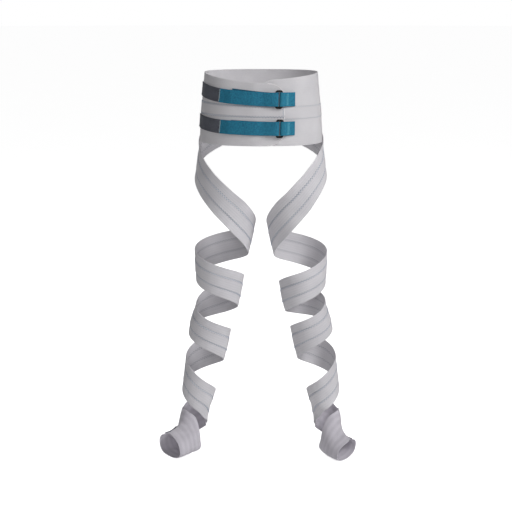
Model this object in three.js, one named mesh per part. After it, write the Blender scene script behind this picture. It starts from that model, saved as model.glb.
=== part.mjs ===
// Derotation brace for both legs of a child: a lap belt with two tightening straps, and on each
// side an elastic band that winds down the leg from the back of the belt to a wrap round the foot.
// Millimetres, +Z up. The wearer faces -Y and the wearer's left is +X. The origin is the centre of
// the waist, half way up the belt. The brace keeps the form of the body it was put on.

import * as THREE from 'three';

// Cloth and the air between two layers
const GAP = 0.4;
const CLOTH = 1.7;
const DOUBLED = 0.7; // how far the middle stands proud, where two strips of elastic overlap
const SEAM_SLOPE = 1.2;
const WEBBING = 1.4;
const HOOK_TAPE = 1.5;

// Lap belt: heights from the waist, and angles from the middle of the front towards the left side
const BELT = {
  top: 67, bottom: -68.5,
  overEnd: 28.5, underEnd: -363.5, liftStart: -28, liftEnd: -7,
  overDip: 17, underDip: 11, dipSharpness: 1.4,
  cornerRun: 21, cornerRise: 26, cornerSteps: 7, stepAngle: 4.5,
};
const BELT_SEAMS = table(['angle', 'low', 'high'], [
  [-364, -18.5, 4],
  [-270, -16.5, 5.5],
  [-180, -14, 8.5],
  [-90, -10.5, 11.5],
  [-45, -12, 8],
  [0, -13.5, 5],
  [29, -14, 4.5],
]);
const BELT_LIFT = CLOTH + DOUBLED + GAP; // the over end lies on the under end

// Tightening straps: places along the belt's round from the middle of the front, left positive
const STRAP = {
  width: 26, underStart: -57, tabEnd: -164, lean: 0.055, settle: 16, ringRun: 30, tabRiseStart: -70,
  ease: 2, step: 7, foldSteps: 6, tabCorner: 6, cornerSteps: 3,
};
const ROUND = { from: -120, step: 1.6, count: 120 }; // angles at which the belt's round is measured
const OVER_END_DROP = { from: 1.5, to: 8 }; // past the over end, a strap comes down on the under end
const STRAPS = table(['name', 'height', 'sideRise', 'tabRise', 'tealEnd', 'loopEnd'], [
  ['upper', 19, 10.5, 6, -82.5, 64.5],
  ['lower', -35.5, 4.5, 5, -78, 61.5],
]);

// Moulded ring that a strap turns back through
const RING = { place: 32.5, high: 35, wide: 14.5, bar: 4, thick: 3.6, corner: 4.6, bevel: 1.1 };

// Leg band and foot wrap
const SIDES = { right: -1, left: 1 };
const BAND = { width: 60, seam: 11.5, beltClear: 2, beltFade: 18 };
const WRAP = { width: 64, ribs: 3, rib: 0.5 };
const FOOT_TAB = { sections: 5, inset: 1 };
const STEP_LENGTH = 17;
const STEP_TURN = 14;
const WALK_STEP = 3;
const NEAR = 0.5; // half of the stretch over which a slope of the body is taken

// The body that the brace was put on, as a left side. A section has its centre, the tilt of its
// plane towards the toes, its turn out, and its reach to each side; a station is the way down.
const SECTION = [
  'station', 'across', 'depth', 'height', 'tilt', 'turn',
  'lateral', 'medial', 'front', 'back', 'square',
];
const BODY = table(SECTION, [
  [-75, 0, 0, 75, 0, 0, 107.5, 107.5, 79, 79, 2.3],
  [70, 0, 0, -70, 0, 0, 118, 118, 88, 90, 2.3],
  [95, 14, 0, -95, 0, 0, 108, 89, 89, 98, 2.3],
  [120, 36, 1, -120, 0, 0, 89.5, 79, 87, 103, 2.2],
  [155, 56, 3, -155, 0, 0, 76, 69, 79, 101, 2.1],
  [190, 69, 4, -190, 0, 0, 65.5, 65.5, 71, 89, 2.1],
  [240, 74, 4, -240, 0, 0, 59.5, 59.5, 64, 71, 2],
  [312, 80, 3, -312, 0, 0, 50, 50, 54, 57, 2],
  [362, 84, 2, -362, 0, 0, 44.5, 44.5, 48, 49, 2],
  [392, 87, 3, -392, 0, 0, 42, 42, 45, 45, 2],
  [437, 100, 6, -437, 0, 0, 41.5, 41.5, 42, 45, 2],
  [487, 109.5, 11, -487, 0, 0, 40, 40, 39, 46, 2],
  [540, 118.5, 14, -540, 0, 0, 36, 36, 35, 41, 2],
]);
const FEET = {
  right: table(SECTION, [
    [590, 129.5, 15, -590, 0, 0, 32, 33, 31, 34, 2],
    [635, 137.5, 14, -635, 16, 30, 23.5, 25, 31, 21, 2],
    [672, 143, -8.5, -667.5, 46.5, 48.5, 28.5, 29.5, 30, 37, 2.1],
    [712, 162.5, -41, -678.5, 76, 48.5, 29.5, 31, 25.5, 19.5, 2.4],
    [760, 197, -71.5, -680.5, 90, 48.5, 33.5, 34, 18.5, 18.5, 2.5],
  ]),
  left: table(SECTION, [
    [590, 130.5, 15, -590, 0, 0, 30.5, 33, 31, 34, 2],
    [635, 135, 14, -635, 16, 30, 24.5, 21.5, 31, 24, 2],
    [672, 140.5, -6, -668, 49.5, 50.5, 28.5, 23, 28.5, 37, 2.1],
    [712, 159.5, -37.5, -688.5, 76, 50.5, 29.5, 30.5, 21.5, 19.5, 2.4],
    [760, 195, -67, -690.5, 90, 50.5, 33.5, 33.5, 14.5, 18.5, 2.5],
  ]),
};

// The way of each leg band: its turn round the leg, from 0 at the back through 90 at the outside
// and 180 at the front, and the station of its middle on either leg.
const BAND_WAY = table(['turn', 'right', 'left'], [
  [24, 31, 31],
  [60, 70, 66],
  [90, 101, 95],
  [135, 141.5, 135],
  [180, 185, 183],
  [225, 231, 232],
  [270, 262.5, 265],
  [360, 293.5, 297],
  [450, 315, 320],
  [540, 340, 351.5],
  [630, 370.5, 382],
  [720, 399, 401],
  [810, 426, 419],
  [900, 454.5, 447],
  [990, 485, 480],
  [1080, 513, 510],
  [1170, 543, 541.5],
  [1260, 581, 580],
  [1350, 611.5, 611.5],
  [1445, 629, 629],
]);

// A leg band is one length of elastic. Its solid is cut behind the leg, once a turn.
const BAND_PARTS = table(['name', 'from', 'to'], [
  ['thigh', 23, 360],
  ['knee', 360, 720],
  ['calf', 720, 1080],
  ['shin', 1080, 1446],
]);
const BAND_CUT = 0.25; // degrees left open on each side of a cut

// The way of each foot wrap, turning on from the back of the ankle, over the instep, under the
// arch and up the outside to lie on itself.
const WRAP_WAY = table(['turn', 'right', 'left'], [
  [-50, 624, 624],
  [0, 631, 633],
  [90, 653, 657],
  [135, 666.5, 672.5],
  [180, 683.5, 689],
  [225, 699, 697.5],
  [270, 709.5, 701],
  [360, 712.5, 703],
  [450, 708, 698],
  [495, 701, 691],
]);
const WRAP_START_ON_BAND = 1390; // the band's turn where it lies on the start of the wrap
const BAND_CLIMB = 26;
const WRAP_CLIMB = { from: 380, to: 425 };
const WRAP_END = { right: 485, left: 465 }; // the turns at which the wraps end

// Colours and finishes
const FABRIC = { roughness: 0.92, metalness: 0 };
const MATERIALS = {
  belt: new THREE.MeshStandardMaterial({ color: 0xc6c5ca, ...FABRIC }),
  band: new THREE.MeshStandardMaterial({ color: 0xb4b4bd, ...FABRIC }),
  wrap: new THREE.MeshStandardMaterial({ color: 0xaaa9b1, ...FABRIC }),
  strap: new THREE.MeshStandardMaterial({ color: 0x1f7390, ...FABRIC }),
  tab: new THREE.MeshStandardMaterial({ color: 0x4a4b52, ...FABRIC }),
  ring: new THREE.MeshStandardMaterial({ color: 0x121214, roughness: 0.35, metalness: 0 }),
};

// Rows with named columns
function table(columns, rows) {
  return rows.map((row) => Object.fromEntries(columns.map((column, i) => [column, row[i]])));
}

// Smooth curve through the points of two columns, which doesn't overshoot them
function smoothCurve(xs, ys) {
  const last = xs.length - 1;
  const rise = xs.slice(1).map((x, i) => (ys[i + 1] - ys[i]) / (x - xs[i]));
  const slope = xs.map((_, i) => {
    if (i === 0) return rise[0];
    if (i === last) return rise[last - 1];
    if (rise[i - 1] * rise[i] <= 0) return 0;
    return (2 * rise[i - 1] * rise[i]) / (rise[i - 1] + rise[i]);
  });
  return (x) => {
    let i = 0;
    while (i < last - 1 && x > xs[i + 1]) i++;
    const span = xs[i + 1] - xs[i];
    const t = (x - xs[i]) / span;
    if (t < 0) return ys[0] + slope[0] * (x - xs[0]);
    if (t > 1) return ys[last] + slope[last] * (x - xs[last]);
    const u = 1 - t;
    return ys[i] * u * u * (1 + 2 * t) + slope[i] * span * t * u * u
      + ys[i + 1] * t * t * (3 - 2 * t) - slope[i + 1] * span * t * t * u;
  };
}

function smoothColumns(rows, key) {
  const xs = rows.map((row) => row[key]);
  const names = Object.keys(rows[0]).filter((name) => name !== key);
  const curves = names.map((name) => smoothCurve(xs, rows.map((row) => row[name])));
  return (x) => Object.fromEntries(names.map((name, i) => [name, curves[i](x)]));
}

// Rises smoothly from 0 at the first bound to 1 at the second
function ease(value, from, to) {
  const t = THREE.MathUtils.clamp((value - from) / (to - from), 0, 1);
  return t * t * (3 - 2 * t);
}

// Point of a limb's surface at a station, turned round the limb by an angle in degrees
const LIMBS = {
  right: smoothColumns([...BODY, ...FEET.right], 'station'),
  left: smoothColumns([...BODY, ...FEET.left], 'station'),
};

function bodyPoint(limb, station, angle) {
  const cut = limb(station);
  const a = THREE.MathUtils.degToRad(angle);
  const turn = THREE.MathUtils.degToRad(cut.turn);
  const tilt = THREE.MathUtils.degToRad(cut.tilt);
  const outward = Math.sin(a);
  const rearward = Math.cos(a);
  const alongOut = Math.abs(outward) / (outward > 0 ? cut.lateral : cut.medial);
  const alongRear = Math.abs(rearward) / (rearward > 0 ? cut.back : cut.front);
  const reach = (alongOut ** cut.square + alongRear ** cut.square) ** (-1 / cut.square);
  const out = reach * outward;
  const forward = -reach * rearward;
  const level = forward * Math.cos(tilt);
  return new THREE.Vector3(
    cut.across + out * Math.cos(turn) + level * Math.sin(turn),
    cut.depth + out * Math.sin(turn) - level * Math.cos(turn),
    cut.height + forward * Math.sin(tilt),
  );
}

// Slopes of the surface down the limb and round it, and its outward normal
function bodyFrame(limb, station, angle) {
  const down = bodyPoint(limb, station + NEAR, angle).sub(bodyPoint(limb, station - NEAR, angle));
  const round = bodyPoint(limb, station, angle + NEAR).sub(bodyPoint(limb, station, angle - NEAR));
  const normal = new THREE.Vector3().crossVectors(round, down).normalize();
  return { down, round, normal };
}

// Goes over the surface from a spot, in a direction, for a distance
function walk(limb, spot, direction, distance) {
  const steps = Math.max(1, Math.ceil(Math.abs(distance) / WALK_STEP));
  let { station, angle } = spot;
  for (let i = 0; i < steps; i++) {
    const { down, round } = bodyFrame(limb, station, angle);
    const dd = down.dot(down);
    const dr = down.dot(round);
    const rr = round.dot(round);
    const det = dd * rr - dr * dr;
    const toDown = (direction.dot(down) * rr - direction.dot(round) * dr) / det;
    const toRound = (direction.dot(round) * dd - direction.dot(down) * dr) / det;
    const length = down.clone().multiplyScalar(toDown).addScaledVector(round, toRound).length();
    const scale = distance / steps / length;
    station += toDown * scale;
    angle += toRound * scale;
  }
  return { station, angle };
}

// Closed skin over rings of points, with its faces pointing out. A ring goes along one face of the
// cloth and back along the other, with a point opposite each point.
function skin(rings) {
  const count = rings[0].length;
  const points = rings.flat();
  const index = [];
  const quad = (a, b, c, d) => {
    const shorter = points[a].distanceTo(points[c]) < points[b].distanceTo(points[d]);
    index.push(...(shorter ? [a, b, c, a, c, d] : [a, b, d, b, c, d]));
  };
  for (let i = 0; i + 1 < rings.length; i++) {
    for (let j = 0; j < count; j++) {
      const next = (j + 1) % count;
      const here = i * count;
      const there = here + count;
      quad(here + j, there + j, there + next, here + next);
    }
  }
  const last = points.length - count;
  for (let j = 0; j + 1 < count / 2; j++) {
    const opposite = count - 1 - j;
    quad(j, j + 1, opposite - 1, opposite);
    quad(last + opposite, last + opposite - 1, last + j + 1, last + j);
  }
  const made = new THREE.BufferGeometry().setFromPoints(points);
  made.setIndex(index);
  return faceOut(made);
}

// Turns every face round if the solid is inside out
function faceOut(geometry) {
  const at = geometry.getAttribute('position');
  const order = geometry.index ? geometry.index.array : [...Array(at.count).keys()];
  const corner = [0, 1, 2].map(() => new THREE.Vector3());
  let volume = 0;
  for (let i = 0; i < order.length; i += 3) {
    corner.forEach((p, k) => p.fromBufferAttribute(at, order[i + k]));
    volume += corner[0].dot(corner[1].clone().cross(corner[2]));
  }
  if (volume < 0) {
    const swapped = [];
    for (let i = 0; i < order.length; i += 3) swapped.push(order[i], order[i + 2], order[i + 1]);
    geometry.setIndex(swapped);
  }
  geometry.computeVertexNormals();
  return geometry;
}

function piece(name, geometry, material) {
  const mesh = new THREE.Mesh(geometry, material);
  mesh.name = name;
  return mesh;
}

// Outline across cloth, from heights of its outer face at places across it
function clothOutline(outer) {
  return [...outer, ...outer.map(([place]) => [place, 0]).reverse()];
}

// Elastic cloth of two strips, which overlap between the seams
function doubledOutline(low, seamLow, seamHigh, high) {
  const half = SEAM_SLOPE / 2;
  return clothOutline([
    [low, CLOTH],
    [seamLow - half, CLOTH],
    [seamLow + half, CLOTH + DOUBLED],
    [seamHigh - half, CLOTH + DOUBLED],
    [seamHigh + half, CLOTH],
    [high, CLOTH],
  ]);
}

// Elastic cloth with soft ribs
function ribbedOutline({ width, ribs, rib }) {
  return clothOutline([...Array(2 * ribs + 1).keys()].map(
    (i) => [(i / ribs - 1) * (width / 2), CLOTH + (i % 2) * rib],
  ));
}

// Turns of a band at which its sections stand: close where the limb is slim
function bandTurns(limb, way, from, to) {
  const turns = [from];
  for (let turn = from; turn < to;) {
    const here = bodyPoint(limb, way(turn), turn);
    const ahead = bodyPoint(limb, way(turn + 1), turn + 1);
    turn += Math.min(STEP_TURN, STEP_LENGTH / here.distanceTo(ahead));
    turns.push(Math.min(turn, to));
  }
  return turns;
}

// Band wound on a leg. The way gives its station at a turn, and lift how far a spot of it is held
// off the body by what it lies on.
function woundBand({ leg, way, turns, outline, lift }) {
  const limb = LIMBS[leg];
  const rings = turns.map((turn) => {
    const spot = { station: way(turn), angle: turn };
    const ahead = bodyPoint(limb, way(turn + 1), turn + 1);
    const along = ahead.sub(bodyPoint(limb, way(turn - 1), turn - 1));
    const across = along.cross(bodyFrame(limb, spot.station, turn).normal).normalize();
    return outline.map(([place, over]) => {
      const { station, angle } = walk(limb, spot, across, place);
      const at = bodyPoint(limb, station, angle);
      at.addScaledVector(bodyFrame(limb, station, angle).normal, over + lift(turn, at));
      at.x *= SIDES[leg];
      return at;
    });
  });
  return skin(rings);
}

function wayOf(rows, leg) {
  return smoothCurve(rows.map((row) => row.turn), rows.map((row) => row[leg]));
}

function legBand(leg, part) {
  const beltEdge = BELT.bottom - BAND.beltClear;
  const lift = (turn, at) => (
    BELT_LIFT * ease(at.z, beltEdge - BAND.beltFade, beltEdge)
    + (CLOTH + WRAP.rib + 2 * GAP) * ease(turn, WRAP_START_ON_BAND - BAND_CLIMB, WRAP_START_ON_BAND)
  );
  const half = BAND.width / 2;
  const outline = doubledOutline(-half, -BAND.seam, BAND.seam, half);
  const way = wayOf(BAND_WAY, leg);
  const from = Math.max(part.from + BAND_CUT, BAND_WAY[0].turn);
  const to = Math.min(part.to - BAND_CUT, BAND_WAY.at(-1).turn);
  const turns = bandTurns(LIMBS[leg], way, from, to);
  const cloth = woundBand({ leg, way, turns, outline, lift });
  return piece(`${leg}_${part.name}_band`, cloth, MATERIALS.band);
}

const wrapLift = (turn) => (CLOTH + WRAP.rib + GAP) * ease(turn, WRAP_CLIMB.from, WRAP_CLIMB.to);

function footWrap(leg) {
  const way = wayOf(WRAP_WAY, leg);
  const turns = bandTurns(LIMBS[leg], way, WRAP_WAY[0].turn, WRAP_END[leg]);
  const cloth = woundBand({ leg, way, turns, outline: ribbedOutline(WRAP), lift: wrapLift });
  return piece(`${leg}_foot_wrap`, cloth, MATERIALS.wrap);
}

// Hook tape that closes a foot wrap, on the outside of its end
function footTab(leg) {
  const way = wayOf(WRAP_WAY, leg);
  const wrapTurns = bandTurns(LIMBS[leg], way, WRAP_WAY[0].turn, WRAP_END[leg]);
  const turns = wrapTurns.slice(-FOOT_TAB.sections);
  const places = ribbedOutline(WRAP).slice(FOOT_TAB.inset, 2 * WRAP.ribs + 1 - FOOT_TAB.inset);
  const outline = clothOutline(places.map(([place]) => [place, HOOK_TAPE]));
  const lift = (turn) => wrapLift(turn) + CLOTH + WRAP.rib + GAP;
  return piece(`${leg}_foot_tab`, woundBand({ leg, way, turns, outline, lift }), MATERIALS.tab);
}

// Belt: its cloth at an angle from the middle of the front, left positive
const beltLift = (angle) => BELT_LIFT * ease(angle, BELT.liftStart, BELT.liftEnd);

function beltEdges(angle) {
  const over = angle > -180;
  const ahead = Math.max(0, Math.cos(THREE.MathUtils.degToRad(angle)));
  const dip = (over ? BELT.overDip : BELT.underDip) * ahead ** BELT.dipSharpness;
  const toEnd = Math.min(BELT.overEnd - angle, angle - BELT.underEnd);
  const nearEnd = THREE.MathUtils.clamp(1 - toEnd / BELT.cornerRun, 0, 1);
  const corner = BELT.cornerRise * (1 - Math.sqrt(1 - nearEnd ** 2));
  return { top: BELT.top - dip - corner, bottom: BELT.bottom + corner };
}

function beltAngles() {
  const { underEnd, overEnd, cornerRun, cornerSteps, stepAngle } = BELT;
  const corner = [...Array(cornerSteps).keys()].map(
    (i) => cornerRun * (1 - Math.cos(((i + 1) / cornerSteps) * (Math.PI / 2))),
  );
  const from = underEnd + cornerRun;
  const to = overEnd - cornerRun;
  const count = Math.ceil((to - from) / stepAngle);
  const between = [...Array(count - 1).keys()].map((i) => from + ((i + 1) / count) * (to - from));
  return [
    underEnd, ...corner.map((run) => underEnd + run), ...between,
    ...corner.map((run) => overEnd - run).reverse(), overEnd,
  ];
}

function beltSpot(angle, height, over) {
  const formAngle = 180 - angle;
  const at = bodyPoint(LIMBS.left, -height, formAngle);
  return at.addScaledVector(bodyFrame(LIMBS.left, -height, formAngle).normal, over);
}

function lapBelt() {
  const seams = smoothColumns(BELT_SEAMS, 'angle');
  const outlines = beltAngles().map((angle) => {
    const { top, bottom } = beltEdges(angle);
    const { low, high } = seams(angle);
    return { angle, outline: doubledOutline(bottom, low, high, top) };
  });
  const rings = outlines.map(({ angle, outline }) => outline.map(
    ([height, over]) => beltSpot(angle, height, over + beltLift(angle)),
  ));
  return piece('lap_belt', skin(rings), MATERIALS.belt);
}

// Straps are drawn flat, as places along the belt's round and heights over the body, and bent on
const roundTable = [...Array(ROUND.count).keys()].map(
  (i) => ({ angle: ROUND.from + ROUND.step * i, round: 0 }),
);
roundTable.slice(1).forEach((row, i) => {
  const before = roundTable[i];
  row.round = before.round + beltSpot(row.angle, 0, 0).distanceTo(beltSpot(before.angle, 0, 0));
});
const roundAngles = roundTable.map((row) => row.angle);
const roundAt = smoothCurve(roundAngles, roundTable.map((row) => row.round));
const frontRound = roundAt(0);
const angleAt = smoothCurve(roundTable.map((row) => row.round - frontRound), roundAngles);

// Height of the belt's outer face over the body, under the straps
const overEndPlace = roundAt(BELT.overEnd) - frontRound;
function beltFace(place) {
  const { from, to } = OVER_END_DROP;
  const onOverEnd = BELT_LIFT * (1 - ease(place - overEndPlace, from, to));
  return CLOTH + GAP + Math.min(beltLift(angleAt(place)), onOverEnd);
}

function bent(strap, place, across, over) {
  const atSide = strap.sideRise * ease(-place, -RING.place, -STRAP.tabEnd);
  const onTab = strap.tabRise * ease(-place, -STRAP.tabRiseStart, -STRAP.tabEnd);
  const height = strap.height + atSide + onTab + across;
  return beltSpot(angleAt(place + STRAP.lean * across), height, over);
}

// Centre line of a strap run over the belt, from one place to another
function run(from, to, over) {
  const count = Math.max(1, Math.round(Math.abs(to - from) / STRAP.step));
  return [...Array(count + 1).keys()].map((i) => {
    const place = THREE.MathUtils.lerp(from, to, i / count);
    return [place, over(place)];
  });
}

// Half turn of a strap round a ring's bar, from under it to over it
function foldRound(bar, height, radius, way) {
  return [...Array(STRAP.foldSteps - 1).keys()].map((i) => {
    const a = (Math.PI * (i + 1)) / STRAP.foldSteps;
    return [bar + way * radius * Math.sin(a), height - radius * Math.cos(a)];
  });
}

// Strap of a width, made by thickening a flat line and bending it on the belt
function strapPiece(name, strap, line, thick, material) {
  const half = STRAP.width / 2;
  const outline = [[-half, -1], [half, -1], [half, 1], [-half, 1]];
  const rings = line.map(([x, y], i) => {
    const [ax, ay] = line[Math.max(0, i - 1)];
    const [bx, by] = line[Math.min(line.length - 1, i + 1)];
    const offset = thick / 2 / Math.hypot(bx - ax, by - ay);
    return outline.map(([across, face]) => bent(
      strap, x - face * (by - ay) * offset, across, y + face * (bx - ax) * offset,
    ));
  });
  return piece(name, skin(rings), material);
}

const barPlace = RING.wide / 2 - RING.bar / 2;
const foldRadius = Math.hypot(RING.bar, RING.thick) / 2 + GAP + WEBBING / 2;
const ringHeight = beltFace(RING.place) + WEBBING / 2 + foldRadius;

function tighteningStrap(strap) {
  const bar = RING.place - barPlace;
  const lowest = (place) => beltFace(place) + WEBBING / 2;
  const onRing = ringHeight + foldRadius;
  const second = (place) => {
    const onUnder = ease(place, STRAP.underStart - STRAP.settle, STRAP.underStart - STRAP.ease);
    const under = lowest(place) + (WEBBING + GAP) * onUnder;
    return THREE.MathUtils.lerp(under, onRing, ease(place, bar - STRAP.ringRun, bar));
  };
  const line = [
    ...run(STRAP.underStart, bar, lowest),
    ...foldRound(bar, ringHeight, foldRadius, 1),
    ...run(bar, strap.tealEnd, second),
  ];
  return strapPiece(`${strap.name}_strap`, strap, line, WEBBING, MATERIALS.strap);
}

function ringLoop(strap) {
  const bar = RING.place + barPlace;
  const lowest = (place) => beltFace(place) + WEBBING / 2;
  const second = (place) => {
    const under = lowest(place) + WEBBING + GAP;
    return THREE.MathUtils.lerp(ringHeight + foldRadius, under, ease(place, bar, bar + STRAP.settle));
  };
  const line = [
    ...run(strap.loopEnd, bar, lowest),
    ...foldRound(bar, ringHeight, foldRadius, -1),
    ...run(bar, strap.loopEnd, second),
  ];
  return strapPiece(`${strap.name}_ring_loop`, strap, line, WEBBING, MATERIALS.strap);
}

// Hook tape at the free end of a strap, with round corners
function hookTab(strap) {
  const half = STRAP.width / 2;
  const from = strap.tealEnd - GAP;
  const places = run(from, STRAP.tabEnd + STRAP.tabCorner, () => 0).map(([place]) => ({ place, half }));
  for (let i = 1; i <= STRAP.cornerSteps; i++) {
    const a = (i / STRAP.cornerSteps) * (Math.PI / 2);
    places.push({
      place: STRAP.tabEnd + STRAP.tabCorner * (1 - Math.sin(a)),
      half: half - STRAP.tabCorner * (1 - Math.cos(a)),
    });
  }
  const outline = [[-1, 0], [1, 0], [1, HOOK_TAPE], [-1, HOOK_TAPE]];
  const rings = places.map(({ place, half: reach }) => outline.map(
    ([sign, over]) => bent(strap, place, sign * reach, beltFace(place) + over),
  ));
  return piece(`${strap.name}_hook_tab`, skin(rings), MATERIALS.tab);
}

function roundedOutline(path, wide, high, corner) {
  const x = wide / 2;
  const y = high / 2;
  path.moveTo(x, corner - y);
  path.lineTo(x, y - corner);
  path.absarc(x - corner, y - corner, corner, 0, Math.PI / 2);
  path.lineTo(corner - x, y);
  path.absarc(corner - x, y - corner, corner, Math.PI / 2, Math.PI);
  path.lineTo(-x, corner - y);
  path.absarc(corner - x, corner - y, corner, Math.PI, 1.5 * Math.PI);
  path.lineTo(x - corner, -y);
  path.absarc(x - corner, corner - y, corner, 1.5 * Math.PI, 2 * Math.PI);
  return path;
}

function strapRing(strap) {
  const { wide, high, bar, thick, corner, bevel } = RING;
  const inset = 2 * bevel;
  const shape = roundedOutline(new THREE.Shape(), wide - inset, high - inset, corner - bevel);
  const hole = roundedOutline(
    new THREE.Path(), wide - 2 * bar + inset, high - 2 * bar + inset, corner - bar + bevel,
  );
  shape.holes.push(hole);
  const flat = new THREE.ExtrudeGeometry(shape, {
    depth: thick - inset, bevelThickness: bevel, bevelSize: bevel, bevelSegments: 1, curveSegments: 3,
  }).translate(0, 0, bevel - thick / 2);
  const mesh = piece(`${strap.name}_ring`, faceOut(flat), MATERIALS.ring);
  const near = (along, up) => bent(strap, RING.place + along, up, ringHeight);
  const along = near(NEAR, 0).sub(near(-NEAR, 0));
  const upright = near(0, NEAR).sub(near(0, -NEAR)).normalize();
  const outward = along.cross(upright).normalize();
  mesh.position.copy(near(0, 0));
  mesh.quaternion.setFromRotationMatrix(
    new THREE.Matrix4().makeBasis(upright.clone().cross(outward).normalize(), upright, outward),
  );
  return mesh;
}

// The whole brace
const brace = new THREE.Group();
brace.add(lapBelt());
for (const strap of STRAPS) {
  brace.add(tighteningStrap(strap), strapRing(strap), ringLoop(strap), hookTab(strap));
}
for (const leg of Object.keys(SIDES)) {
  for (const part of BAND_PARTS) brace.add(legBand(leg, part));
  brace.add(footWrap(leg), footTab(leg));
}

export default brace;
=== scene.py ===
"""Dresses a derotation leg brace: an elastic lap belt with two tightening straps, and on each leg an
elastic band that winds down to a wrap round the foot. Sizes are in millimetres and angles in degrees
until a mesh is made, which is in metres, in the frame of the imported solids."""

import logging
import math
from dataclasses import dataclass
from enum import Enum
from typing import Callable, NamedTuple, Sequence

import bmesh
import bpy
import numpy as np
from mathutils import Euler, Matrix, Vector


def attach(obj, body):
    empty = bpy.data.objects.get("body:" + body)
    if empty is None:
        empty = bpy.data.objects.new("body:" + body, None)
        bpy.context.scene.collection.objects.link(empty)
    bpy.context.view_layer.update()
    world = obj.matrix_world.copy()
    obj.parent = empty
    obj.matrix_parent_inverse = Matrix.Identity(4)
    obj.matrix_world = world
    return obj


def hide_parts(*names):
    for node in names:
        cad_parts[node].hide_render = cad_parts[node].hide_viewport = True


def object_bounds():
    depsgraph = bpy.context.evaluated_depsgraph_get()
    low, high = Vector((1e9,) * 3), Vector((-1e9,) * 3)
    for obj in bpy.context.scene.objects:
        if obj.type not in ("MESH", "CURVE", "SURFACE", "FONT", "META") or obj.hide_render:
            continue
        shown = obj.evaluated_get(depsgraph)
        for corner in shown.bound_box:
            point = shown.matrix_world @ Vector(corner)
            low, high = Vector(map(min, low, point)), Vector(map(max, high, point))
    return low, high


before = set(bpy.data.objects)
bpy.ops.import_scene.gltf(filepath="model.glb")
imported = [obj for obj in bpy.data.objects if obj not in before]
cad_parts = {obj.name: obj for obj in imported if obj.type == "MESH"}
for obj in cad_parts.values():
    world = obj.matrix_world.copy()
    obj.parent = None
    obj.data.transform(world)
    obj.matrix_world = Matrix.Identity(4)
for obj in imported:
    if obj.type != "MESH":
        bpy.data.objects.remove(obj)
CAD_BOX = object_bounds()

log = logging.getLogger("leg_brace")

Values = np.ndarray
Colour = tuple[float, float, float]
Span = tuple[float, float]
Socket = bpy.types.NodeSocket

MM = 0.001
MERGE = 2e-6
BODY = "root"

# Thickness of the cloths, the air between two layers, and what a layer lifts the next one by
GAP = 0.4
CLOTH = 1.7
DOUBLED = 0.7
WRAP_RIB = 0.5
WEBBING = 1.4
HOOK_TAPE = 1.5
BELT_LIFT = CLOTH + DOUBLED + GAP
WRAP_LIFT = CLOTH + WRAP_RIB + GAP

# Steps over the form: from one walked point to the next, and to either side for a slope
WALK_STEP = 1.0
NEAR = 0.5

# Maps of a cloth: over its flat form, and along and off its seams
CLOTH_MAP = "cloth"
SEAM_MAP = "seam"


class Side(Enum):
    """The two legs of the brace, with the sign of their side of the frame."""

    RIGHT = -1.0
    LEFT = 1.0

    @property
    def word(self) -> str:
        """The side's name in the names of pieces."""
        return self.name.lower()


class Slot(Enum):
    """The record's material slots."""

    BELT = "belt_elastic"
    BAND = "band_elastic"
    WRAP = "wrap_elastic"
    STRAP = "strap_webbing"
    TAPE = "hook_tape"
    RING = "ring_plastic"


class Axis(Enum):
    """The two ways over a cloth's own map."""

    ALONG = "X"
    ACROSS = "Y"


class Section(NamedTuple):
    """One section of the form that the brace is shaped on."""

    station: float
    across: float
    depth: float
    height: float
    tilt: float
    turn: float
    lateral: float
    medial: float
    front: float
    back: float
    square: float


TRUNK_AND_LEG = (
    Section(-75, 0, 0, 75, 0, 0, 107.5, 107.5, 79, 79, 2.3),
    Section(70, 0, 0, -70, 0, 0, 118, 118, 88, 90, 2.3),
    Section(95, 14, 0, -95, 0, 0, 108, 89, 89, 98, 2.3),
    Section(120, 36, 1, -120, 0, 0, 89.5, 79, 87, 103, 2.2),
    Section(155, 56, 3, -155, 0, 0, 76, 69, 79, 101, 2.1),
    Section(190, 69, 4, -190, 0, 0, 65.5, 65.5, 71, 89, 2.1),
    Section(240, 74, 4, -240, 0, 0, 59.5, 59.5, 64, 71, 2),
    Section(312, 80, 3, -312, 0, 0, 50, 50, 54, 57, 2),
    Section(362, 84, 2, -362, 0, 0, 44.5, 44.5, 48, 49, 2),
    Section(392, 87, 3, -392, 0, 0, 42, 42, 45, 45, 2),
    Section(437, 100, 6, -437, 0, 0, 41.5, 41.5, 42, 45, 2),
    Section(487, 109.5, 11, -487, 0, 0, 40, 40, 39, 46, 2),
    Section(540, 118.5, 14, -540, 0, 0, 36, 36, 35, 41, 2),
)
FOOT = {
    Side.RIGHT: (
        Section(590, 129.5, 15, -590, 0, 0, 32, 33, 31, 34, 2),
        Section(635, 137.5, 14, -635, 16, 30, 23.5, 25, 31, 21, 2),
        Section(672, 143, -8.5, -667.5, 46.5, 48.5, 28.5, 29.5, 30, 37, 2.1),
        Section(712, 162.5, -41, -678.5, 76, 48.5, 29.5, 31, 25.5, 19.5, 2.4),
        Section(760, 197, -71.5, -680.5, 90, 48.5, 33.5, 34, 18.5, 18.5, 2.5),
    ),
    Side.LEFT: (
        Section(590, 130.5, 15, -590, 0, 0, 30.5, 33, 31, 34, 2),
        Section(635, 135, 14, -635, 16, 30, 24.5, 21.5, 31, 24, 2),
        Section(672, 140.5, -6, -668, 49.5, 50.5, 28.5, 23, 28.5, 37, 2.1),
        Section(712, 159.5, -37.5, -688.5, 76, 50.5, 29.5, 30.5, 21.5, 19.5, 2.4),
        Section(760, 195, -67, -690.5, 90, 50.5, 33.5, 33.5, 14.5, 18.5, 2.5),
    ),
}


class Waypoint(NamedTuple):
    """A turn round the leg, and the station of a band's middle there on either leg."""

    turn: float
    right: float
    left: float


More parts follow.
